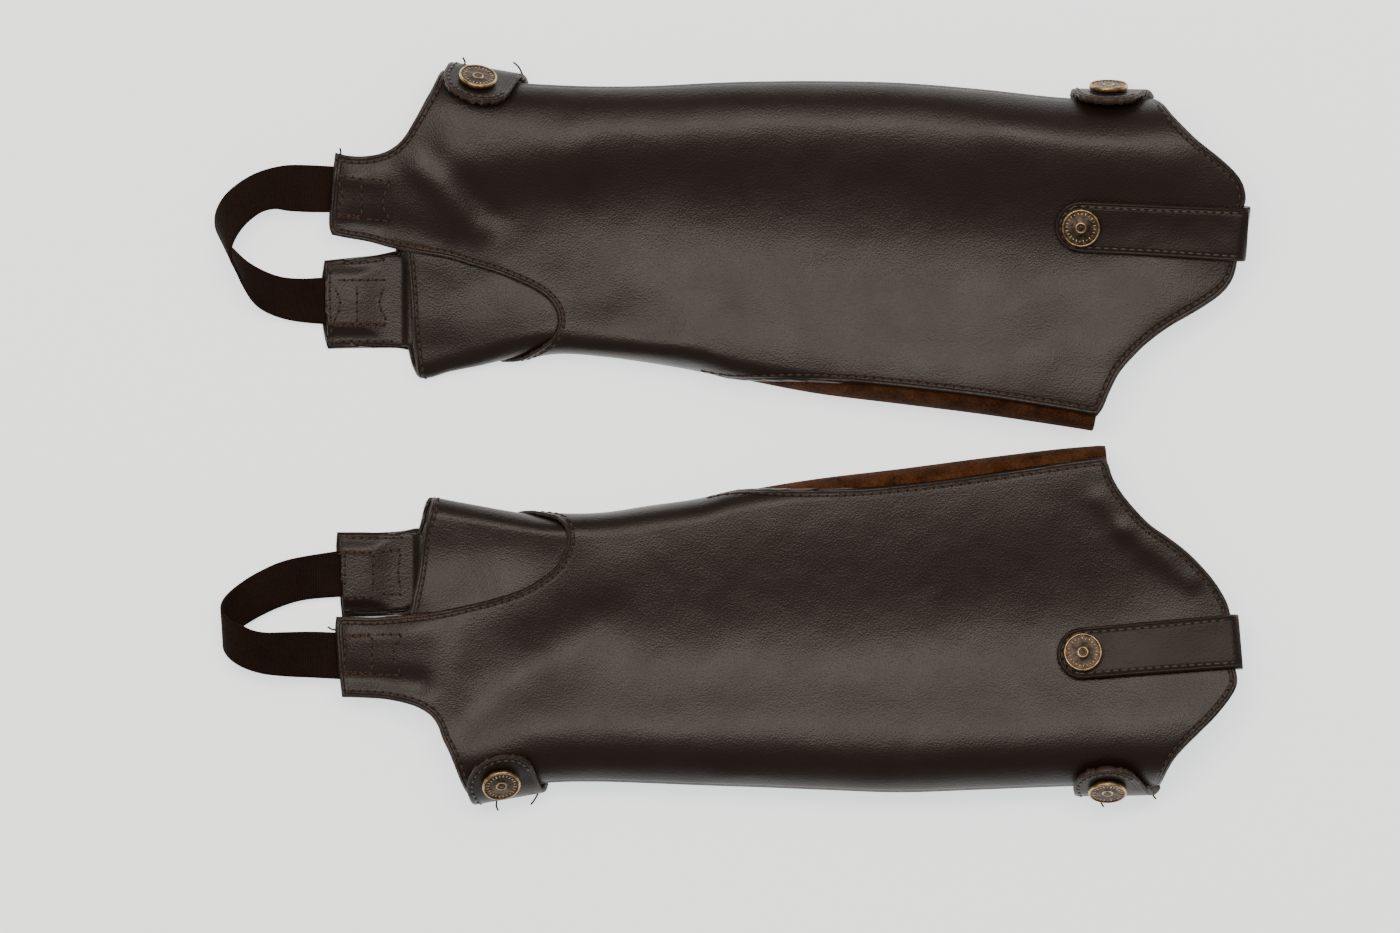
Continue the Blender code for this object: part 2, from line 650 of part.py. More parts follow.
def seam_run(tube, x0, x1, inwards):
    """The seam under the front fold between two places."""
    return [(x, tube.seam(x, inwards)) for x in np.linspace(x0, x1, 9)]


def outer_panel(gaiter, tube, collection):
    """The large outer panel, with its ankle tab, its scallop and its shaped knee."""
    cut = gaiter.cut
    foot = on_top(tube, cut.foot_edge)
    scallop = on_top(tube, cut.scallop)
    knee = on_top(tube, cut.knee_edge)
    seam_x = cut.fold_rim[-1][0] - SEAM_BACK
    rim = [scallop[-1]] + cut.fold_rim + [(seam_x, tube.seam(seam_x, 0.0))]
    seam = seam_run(tube, seam_x, cut.front_tip[0][0], 0.0)
    front = on_top(tube, cut.front_edge)
    tip = [seam[-1]] + cut.front_tip[1:] + [front[0]]
    zip_knee = (gaiter.zip_span[1] + PANEL_PAST_ZIP, ZIP_TOP)
    zip_foot = (foot[0][0], ZIP_TOP)
    runs = [
        foot,
        on_top(tube, cut.tab_end),
        scallop,
        rim,
        seam,
        tip,
        front,
        knee + [zip_knee],
        [zip_knee, zip_foot],
    ]
    return bent_panel(f"{gaiter.name}_outer_panel", tube, runs, LEATHER, "leather", collection)


def inner_panel(gaiter, tube, collection):
    """The inner panel, which lies on the ground, with the other ankle tab."""
    hidden = gaiter.hidden
    zip_foot = (gaiter.zip_span[0], ZIP_BASE)
    zip_knee = (gaiter.zip_span[1], ZIP_BASE)
    foot = [zip_foot] + beneath(tube, hidden.foot_edge)
    back = beneath(tube, hidden.tab_back)
    seam = seam_run(tube, hidden.seam_start, hidden.knee_edge[0][0] - 1.0, SEAM_GAP)
    knee = beneath(tube, hidden.knee_edge)
    runs = [
        foot,
        beneath(tube, hidden.tab_front),
        beneath(tube, hidden.tab_end),
        back,
        [back[-1], seam[0]],
        seam,
        [seam[-1]] + knee + [zip_knee],
        [zip_knee, zip_foot],
    ]
    return bent_panel(
        f"{gaiter.name}_inner_panel", tube, runs, LEATHER, "leather", collection, rows=PLAIN_ROWS
    )


def instep_cap(gaiter, tube, collection):
    """The leather cap over the instep, sewn inside the scallop of both panels."""
    cap = gaiter.cap
    hem = on_top(tube, cap["hem"]) + cap["hem_fold"] + beneath(tube, cap["hem_under"])
    under = beneath(tube, cap["under"])
    over = on_top(tube, cap["over"])
    runs = [hem, under, [under[-1]] + cap["back_fold"] + [over[0]], over]
    depth = -LEATHER - INSET_GAP
    return bent_panel(
        f"{gaiter.name}_instep_cap", tube, runs, LEATHER, "leather", collection,
        lambda x, q: depth, CAP_ROWS,
    )


def calf_gusset(gaiter, tube, collection):
    """The suede gusset along the front of the calf, its edges under the leather."""
    gusset = gaiter.gusset
    top = on_top(tube, gusset["top"])
    end_x = gusset["end_under"]
    lap = seam_run(tube, end_x, 12.0, GUSSET_LAP)
    end = on_top(tube, gusset["end_top"]) + gusset["end_fold"] + [lap[0]]
    runs = [
        gusset["tip"] + top,
        end,
        lap + [(0.0, 3.0), gusset["tip"][0]],
    ]
    depth = -LEATHER - INSET_GAP
    return bent_panel(
        f"{gaiter.name}_calf_gusset", tube, runs, SUEDE, "suede", collection,
        lambda x, q: depth, PLAIN_ROWS,
    )


def tab_facing(gaiter, tube, which, collection):
    """The inner ply of an ankle tab, lifted over the elastic sewn between the plies."""
    corners = gaiter.facings[which]
    ends = gaiter.band_ends.outer if which == "outer" else gaiter.band_ends.inner
    end_x = max(row[0] for row in ends)
    u_high, u_low = ends[1][1], ends[1][2]
    to_q = tube.over if which == "outer" else tube.under
    deep = LEATHER + GAP
    lift = ELASTIC + LAP_GAP - GAP

    def depth(x, q):
        u, _ = tube.loop(x, q)
        past = max(x - end_x, u - u_high, u_low - u, 0.0)
        return -deep - lift * (1 - smoothstep((past - FACING_MARGIN) / FACING_RIM))

    runs = [
        [(a[0], to_q(*a)), (b[0], to_q(*b))] for a, b in zip(corners, corners[1:] + corners[:1])
    ]
    name = f"{gaiter.name}_{which}_tab_facing"
    return bent_panel(name, tube, runs, FACING, "leather", collection, depth, FACING_ROWS)


def knee_strap(gaiter, tube, collection):
    """The strap from inside the knee edge, over the rim and along the top to its popper."""
    strap = gaiter.strap
    start, end = Vector((strap.x, strap.u)), Vector((strap.end_x, strap.end_u))
    along = (end - start).normalized()
    across = Vector((-along.y, along.x))
    reach = (end - start).length
    bend = (GAP + LEATHER + LAP_GAP) / 2
    columns = np.linspace(-1.0, 1.0, 5)
    rows = []

    def half_width(s):
        return STRAP_HALF + STRAP_FLARE * max(s, 0.0) / reach

    def rim_x(u):
        """Where the panel's rim, with its gap, lies under the strap."""
        t = (u - end.y) / (2 * STRAP_HALF) + 0.5
        return strap.rim_x_low * (1 - t) + strap.rim_x_high * t + GAP

    def placed(x, u, w):
        return tube.point(x, tube.over(x, u), w)

    for angle in np.radians(np.arange(22.0, 90.0, 17.0)):
        s = -STRAP_HALF * math.cos(angle)
        half = STRAP_HALF * math.sin(angle)
        spots = [start + along * s + across * half * c for c in columns]
        rows.append([placed(p.x, p.y, GAP) for p in spots])
    lines = [start + across * half_width(0) * c for c in columns]
    ends = [end + across * half_width(reach) * c for c in columns]
    rims = [rim_x(p.y) for p in ends]
    for t in np.linspace(0.0, 1.0, 8):
        row = []
        for a, b, x_end in zip(lines, ends, rims):
            x = a.x + (x_end - a.x) * t
            u = a.y + (b.y - a.y) * (x - a.x) / (b.x - a.x)
            row.append(placed(x, u, GAP))
        rows.append(row)
    for angle in np.radians(np.arange(30.0, 181.0, 30.0)):
        row = []
        for b, x_end in zip(ends, rims):
            x, w = x_end + bend * math.sin(angle), GAP - bend + bend * math.cos(angle)
            q = tube.over(x_end, b.y)
            base = tube.point(x_end, q, w)
            row.append(base + Vector(((x - x_end) * MM, 0.0, 0.0)))
        rows.append(row)
    for t in (0.33, 0.66, 1.0):
        row = []
        for b, x_end in zip(ends, rims):
            row.append(placed(x_end - STRAP_TUCK * t, b.y, -LEATHER - LAP_GAP))
        rows.append(row)
    grid_sheet(
        f"{gaiter.name}_knee_strap", rows, STRAP, "leather", collection, -gaiter.side, 1.0
    )
    q = tube.over(strap.x, strap.u)
    seat = tube.point(strap.x, q) + tube.normal(strap.x, q) * (GAP + STRAP + LAP_GAP) * MM
    popper(f"{gaiter.name}_strap_popper", seat, tube.normal(strap.x, q), collection)


def tab_curve(tube, tab):
    """Points u, z of a tab's inner face from its base to where it leaves the roll, and its way."""
    want = math.radians(tab.tilt)
    q = 1.0
    while q > 0:
        nu, nz = tube.outwards(tab.x, q)
        if math.atan2(nu, nz) >= want:
            break
        q -= 0.005
    points = []
    for t in np.linspace(TAB_BASE, q, 10):
        u, z = tube.loop(tab.x, t)
        nu, nz = tube.outwards(tab.x, t)
        points.append(Vector((u + nu * TAB_CLEARANCE, z + nz * TAB_CLEARANCE)))
    return points, Vector((-math.cos(want), math.sin(want)))


def hull_width(s, head_p, head_s, base_p):
    """How far the tab's outline reaches on the base point's side at s up the tab."""
    way = 1 if base_p > head_p else -1
    reach = -math.inf
    for k in range(61):
        angle = math.pi * k / 60 - math.pi / 2
        p = head_p * way + HEAD_R * math.cos(angle)
        top = head_s + HEAD_R * math.sin(angle)
        if top >= s and top > 0:
            reach = max(reach, base_p * way + (p - base_p * way) * s / top)
    return way * reach


def popper_tab(gaiter, tube, which, collection):
    """A two-ply tab from the inner panel round the zip roll, flat at its head, with a popper."""
    tab = gaiter.tabs[which]
    points, way = tab_curve(tube, tab)
    reaches = [0.0]
    for a, b in zip(points, points[1:]):
        reaches.append(reaches[-1] + (b - a).length)
    leave = reaches[-1]
    head_s = leave + tab.reach
    levels = list(zip(reaches, points))
    steps = np.linspace(leave, head_s, 3)[1:] if head_s > leave + 1 else []
    heads = [head_s + HEAD_R * math.sin(angle) for angle in np.radians(HEAD_ANGLES)]
    for s in list(steps) + [h for h in heads if h > leave + 1.0]:
        levels.append((s, points[-1] + way * (s - leave)))
    slope = (tube.section(tab.x + 8).zip_u - tube.section(tab.x - 8).zip_u) / 16
    rows = []
    for s, spot in levels:
        low = hull_width(s, tab.head_p, head_s, tab.left_p)
        high = hull_width(s, tab.head_p, head_s, tab.right_p)
        row = []
        for p in np.linspace(low, high, 5):
            row.append(tube.place(tab.x + p, spot.x + slope * p, spot.y))
        rows.append(row)
    name = f"{gaiter.name}_{which}_tab"
    grid_sheet(name, rows, TAB, "leather", collection, -gaiter.side, 1.0)
    centre = points[-1] + way * (head_s - leave)
    seat = tube.place(tab.x + tab.head_p, centre.x + slope * tab.head_p, centre.y)
    across = Vector((1.0, gaiter.side * slope, 0.0))
    up = Vector((0.0, gaiter.side * way.x, way.y))
    normal = across.cross(up).normalized()
    if normal.z < 0:
        normal.negate()
    popper(f"{gaiter.name}_{which}_popper", seat + normal * (TAB + GAP) * MM, normal, collection)


def popper(name, seat, normal, collection):
    """A turned brass popper cap, seated with its axis along the normal."""
    profile = [
        (0.0, POPPER_H - POPPER_DISH),
        (POPPER_R - POPPER_RIM, POPPER_H - POPPER_DISH),
        (POPPER_R - POPPER_RIM + POPPER_DISH, POPPER_H),
        (POPPER_R - POPPER_LIP, POPPER_H),
        (POPPER_R, POPPER_H - POPPER_LIP),
        (POPPER_R, POPPER_FOOT),
        (POPPER_R - POPPER_FOOT, 0.0),
        (0.0, 0.0),
    ]
    mesh = bpy.data.meshes.new(name)
    verts = [(r * MM, 0.0, z * MM) for r, z in profile]
    mesh.from_pydata(verts, [(k, k + 1) for k in range(len(verts) - 1)], [])
    thing = add_object(name, mesh, "brass", collection)
    screw = thing.modifiers.new("turn", "SCREW")
    screw.steps = POPPER_SIDES
    screw.render_steps = POPPER_SIDES
    screw.use_merge_vertices = True
    screw.merge_threshold = 0.00001
    thing.matrix_world = Matrix.Translation(seat) @ normal.to_track_quat("Z", "Y").to_matrix().to_4x4()


def foot_elastic(gaiter, tube, collection):
    """The elastic under the foot, half turned over in its loop and sewn between the tabs' plies."""
    depth = -LEATHER - GAP - ELASTIC / 2
    rows = []
    for x, u1, u2 in gaiter.band_ends.outer:
        ends = [tube.point(x, tube.over(x, u), depth) for u in (u1, u2)]
        rows.append(ends)
    for b in gaiter.band:
        rows.append([tube.place(b.x1, b.u1, b.z1), tube.place(b.x2, b.u2, b.z2)])
    for x, u1, u2 in gaiter.band_ends.inner:
        rows.append([tube.place(x, u, -depth) for u in (u1, u2)])
    edges = []
    for side in (0, 1):
        run = [row[side] for row in rows]
        edges.append(smooth_run(run) + [run[-1]])
    strip = [[a.lerp(b, t) for t in np.linspace(0, 1, 3)] for a, b in zip(*edges)]
    grid_sheet(
        f"{gaiter.name}_foot_elastic", strip, ELASTIC, "elastic", collection, gaiter.side, 0.0
    )


def zip_strip(name, gaiter, tube, span, x0, x1, w, wall, material, collection, count=4):
    """A strip along the zip between two places round the roll."""
    steps = max(2, round((x1 - x0) / ZIP_STEP))
    rows = [
        [tube.point(x, q, w) for q in np.linspace(span[0], span[1], count)]
        for x in np.linspace(x0, x1, steps + 1)
    ]
    return grid_sheet(name, rows, wall, material, collection, gaiter.side, -1.0)


def zip_parts(gaiter, tube, collection):
    """The zip's tape behind both panels, its chain between them and its parked slider."""
    x0, x1 = gaiter.zip_span
    name = gaiter.name
    depth = -LEATHER - LAP_GAP
    zip_strip(f"{name}_zip_tape", gaiter, tube, TAPE_SPAN, x0, x1, depth, TAPE, "tape", collection, 6)
    chain_top = -LEATHER + CHAIN
    zip_strip(
        f"{name}_zip_chain", gaiter, tube, CHAIN_SPAN, x0 + CHAIN_ENDS[0], x1 - CHAIN_ENDS[1],
        chain_top, CHAIN, "tape", collection, 3,
    )
    park = gaiter.tabs["knee"].x + PARKED_PAST_TAB
    middle = sum(CHAIN_SPAN) / 2
    per_mm = (ZIP_TOP + 5 - ZIP_BASE) / ZIP_WIDTH
    rows = []
    for along, half in (
        (-PULLER_LONG, PULLER_HALF * 0.8),
        (-PULLER_LONG + 2, PULLER_HALF),
        (-SLIDER_LONG / 2 - 3, PULLER_HALF),
        (-SLIDER_LONG / 2, SLIDER_HALF * 0.7),
        (0.0, SLIDER_HALF),
        (SLIDER_LONG / 2, SLIDER_HALF * 0.8),
    ):
        row = []
        for c in (-1.0, -0.33, 0.33, 1.0):
            row.append(tube.point(park + along, middle + c * half * per_mm, chain_top + GAP + PULLER))
        rows.append(row)
    grid_sheet(f"{name}_zip_slider", rows, PULLER, "brass", collection, gaiter.side, -1.0)


def build_gaiter(gaiter, collection):
    """All the pieces of one gaiter."""
    tube = Tube(gaiter)
    outer_panel(gaiter, tube, collection)
    inner_panel(gaiter, tube, collection)
    instep_cap(gaiter, tube, collection)
    calf_gusset(gaiter, tube, collection)
    for which in ("outer", "inner"):
        tab_facing(gaiter, tube, which, collection)
    knee_strap(gaiter, tube, collection)
    for which in ("ankle", "knee"):
        popper_tab(gaiter, tube, which, collection)
    foot_elastic(gaiter, tube, collection)
    zip_parts(gaiter, tube, collection)


def main():
    for thing in list(bpy.data.objects):
        bpy.data.objects.remove(thing)
    collection = bpy.data.collections.new("leather gaiters")
    bpy.context.scene.collection.children.link(collection)
    for gaiter in (RIGHT, LEFT):
        build_gaiter(gaiter, collection)


main()
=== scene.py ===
"""A pair of leather riding gaiters, laid flat side by side with their outer sides up.

Each gaiter is a tube of leather round the shape of an empty leg. A place on it is given by x along
the leg, by q round the section and by w outwards from the leather's outer face:

    q -1..0  lower half of the zip roll      q 2..3  front fold, from the top to the underside
    q  0..1  upper half of the zip roll      q 3..4  flat underside
    q  1..2  top                             q 4..5  the lower zip roll again

Tables are in millimetres. u is the distance from the line between the two gaiters.
"""

import logging
import math
from dataclasses import dataclass, field, replace
from enum import Enum
from typing import Any, Callable, NamedTuple, Optional, Sequence, TypeVar, Union

import bmesh
import bpy
import numpy as np
from mathutils import Matrix, Vector


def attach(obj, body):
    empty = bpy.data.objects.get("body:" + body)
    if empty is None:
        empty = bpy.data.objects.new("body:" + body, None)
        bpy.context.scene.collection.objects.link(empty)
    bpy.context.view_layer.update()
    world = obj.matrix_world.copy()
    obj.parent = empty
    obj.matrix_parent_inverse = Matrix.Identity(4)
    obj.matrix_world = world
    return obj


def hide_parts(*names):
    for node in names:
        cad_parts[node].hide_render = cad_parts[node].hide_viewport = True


LOG = logging.getLogger("gaiters")

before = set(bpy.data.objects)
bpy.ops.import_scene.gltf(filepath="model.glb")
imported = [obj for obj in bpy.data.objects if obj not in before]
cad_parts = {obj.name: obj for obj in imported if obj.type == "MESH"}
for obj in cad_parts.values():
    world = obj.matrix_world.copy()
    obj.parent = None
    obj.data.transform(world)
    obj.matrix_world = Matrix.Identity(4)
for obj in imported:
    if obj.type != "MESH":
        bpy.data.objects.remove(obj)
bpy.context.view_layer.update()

MM = 0.001
BODY = "root"
# The frame's origin in the tables' millimetres, as x and the height up the photo.
CENTRE = (0.1, -0.6)
# Edges that turn more than this are shaded sharp.
SHARP_DEGREES = 50.0
# How many places are measured against an outline at once.
AT_ONCE = 4000

Kind = TypeVar("Kind")
Pair = tuple[float, float]
Triple = tuple[float, float, float]
Run = list[Pair]
Number = Union[float, np.ndarray]
Relief = Callable[[np.ndarray, np.ndarray], np.ndarray]


class Section(NamedTuple):
    """One cross-section of a gaiter: where its two sides lie and how high it stands."""

    x: float
    zip_u: float
    front_u: float
    zip_h: float
    mid_h: float
    front_h: float


class Crease(NamedTuple):
    """A soft ridge in the leather, or a trough where its height is below 0."""

    x0: float
    u0: float
    x1: float
    u1: float
    half_width: float
    height: float


class Pad(NamedTuple):
    """A box where the leather lies over something sewn under it."""

    x0: float
    x1: float
    u0: float
    u1: float
    height: float
    slope: float


class Band(NamedTuple):
    """Both edges of the foot elastic at one place round its loop."""

    x1: float
    u1: float
    z1: float
    x2: float
    u2: float
    z2: float


class SewnEnd(NamedTuple):
    """A stretch of elastic between the plies of a tab."""

    x: float
    u1: float
    u2: float


class Thread(Enum):
    """How a row of stitches is sewn."""

    PLAIN = "plain"
    # Rows whose beads are painted pale as highlights between dark needle holes.
    DARK = "dark"
    OVERSEWN = "oversewn"
    TACK = "tack"


class Row(NamedTuple):
    """A row of stitches on a tab or a panel, through places of x and u."""

    thread: Thread
    points: Run


class Stitch(NamedTuple):
    """One stitch of a row: its pitch, its size, and whether beads of painted shade for needle holes
    lie between.
    """

    pitch: float
    length: float
    width: float
    holes: bool = False


@dataclass(frozen=True)
class Walls:
    """Thickness of the leathers and cloths, and the gaps between them, in millimetres."""

    leather: float = 1.7
    suede: float = 1.3
    facing: float = 1.3
    strap: float = 2.4
    tab: float = 3.2
    elastic: float = 1.4
    tape: float = 0.7
    gap: float = 0.3
    inset: float = 2.1
    lap: float = 0.9


WALLS = Walls()


@dataclass(frozen=True)
class Rolls:
    """Shape of the rolls at the two sides of every section, in millimetres and shares.

    Creases and pads start at q lift_from, fade by q lift_to, and zip_top and zip_base are the q of
    the panels' edges at the zip.
    """

    zip_out: float = 22.0
    zip_under: float = 10.0
    zip_low: float = 0.38
    fold_out: float = 11.0
    fold_under: float = 8.0
    fold_low: float = 0.47
    dip_at: float = 0.4
    seam_in: float = 4.0
    seam_gap: float = 0.6
    zip_top: float = 0.155
    zip_base: float = 4.755
    lift_from: float = 0.3
    lift_to: float = 2.45
    lift_fade: float = 0.45
    roll_mm: float = 36.0


ROLLS = Rolls()
# Millimetres of flat cut from each whole q to the next.
FLAT_SPAN = (30.0, 104.0, 28.0, 108.0, 18.0)
# How far to each side, in q, a slope is felt.
Q_STEP = 0.004


@dataclass(frozen=True)
class PopperTabSizes:
    """A popper tab: its place along the zip, the tilt of its head and the ends of its base."""

    x: float
    tilt: float
    reach: float
    head_p: float
    left_p: float
    right_p: float


@dataclass(frozen=True)
class StrapSizes:
    """The knee strap: its popper, the rim that it turns over, and its width."""

    x: float
    u: float
    end_x: float
    end_u: float
    rim_x_low: float
    rim_x_high: float
    half: float = 11.8
    flare: float = 0.6
    tuck: float = 19.0


@dataclass(frozen=True)
class GaiterSizes:
    """Every size of one gaiter."""

    name: str
    side: int
    sections: list[Section]
    creases: list[Crease]
    pads: list[Pad]
    foot_edge: Run
    tab_end: Run
    scallop: Run
    fold_rim: Run
    front_tip: Run
    front_edge: Run
    knee_edge: Run
    inner_foot: Run
    inner_front: Run
    inner_end: Run
    inner_back: Run
    inner_knee: Run
    inner_seam: float
    cap: dict[str, Run]
    gusset: dict[str, Run]
    gusset_under: float
    facings: dict[str, Run]
    strap: StrapSizes
    tabs: dict[str, PopperTabSizes]
    band: list[Band]
    band_outer: list[SewnEnd]
    band_inner: list[SewnEnd]
    zip_span: Pair
    outer_rows: list[Row]
    inner_rows: list[Row]
    thread_ends: list[list[Triple]]


def rows_of(kind: Callable[..., Kind], *rows: Sequence[float]) -> list[Kind]:
    """A table's rows, each made one of a kind."""
    return [kind(*row) for row in rows]


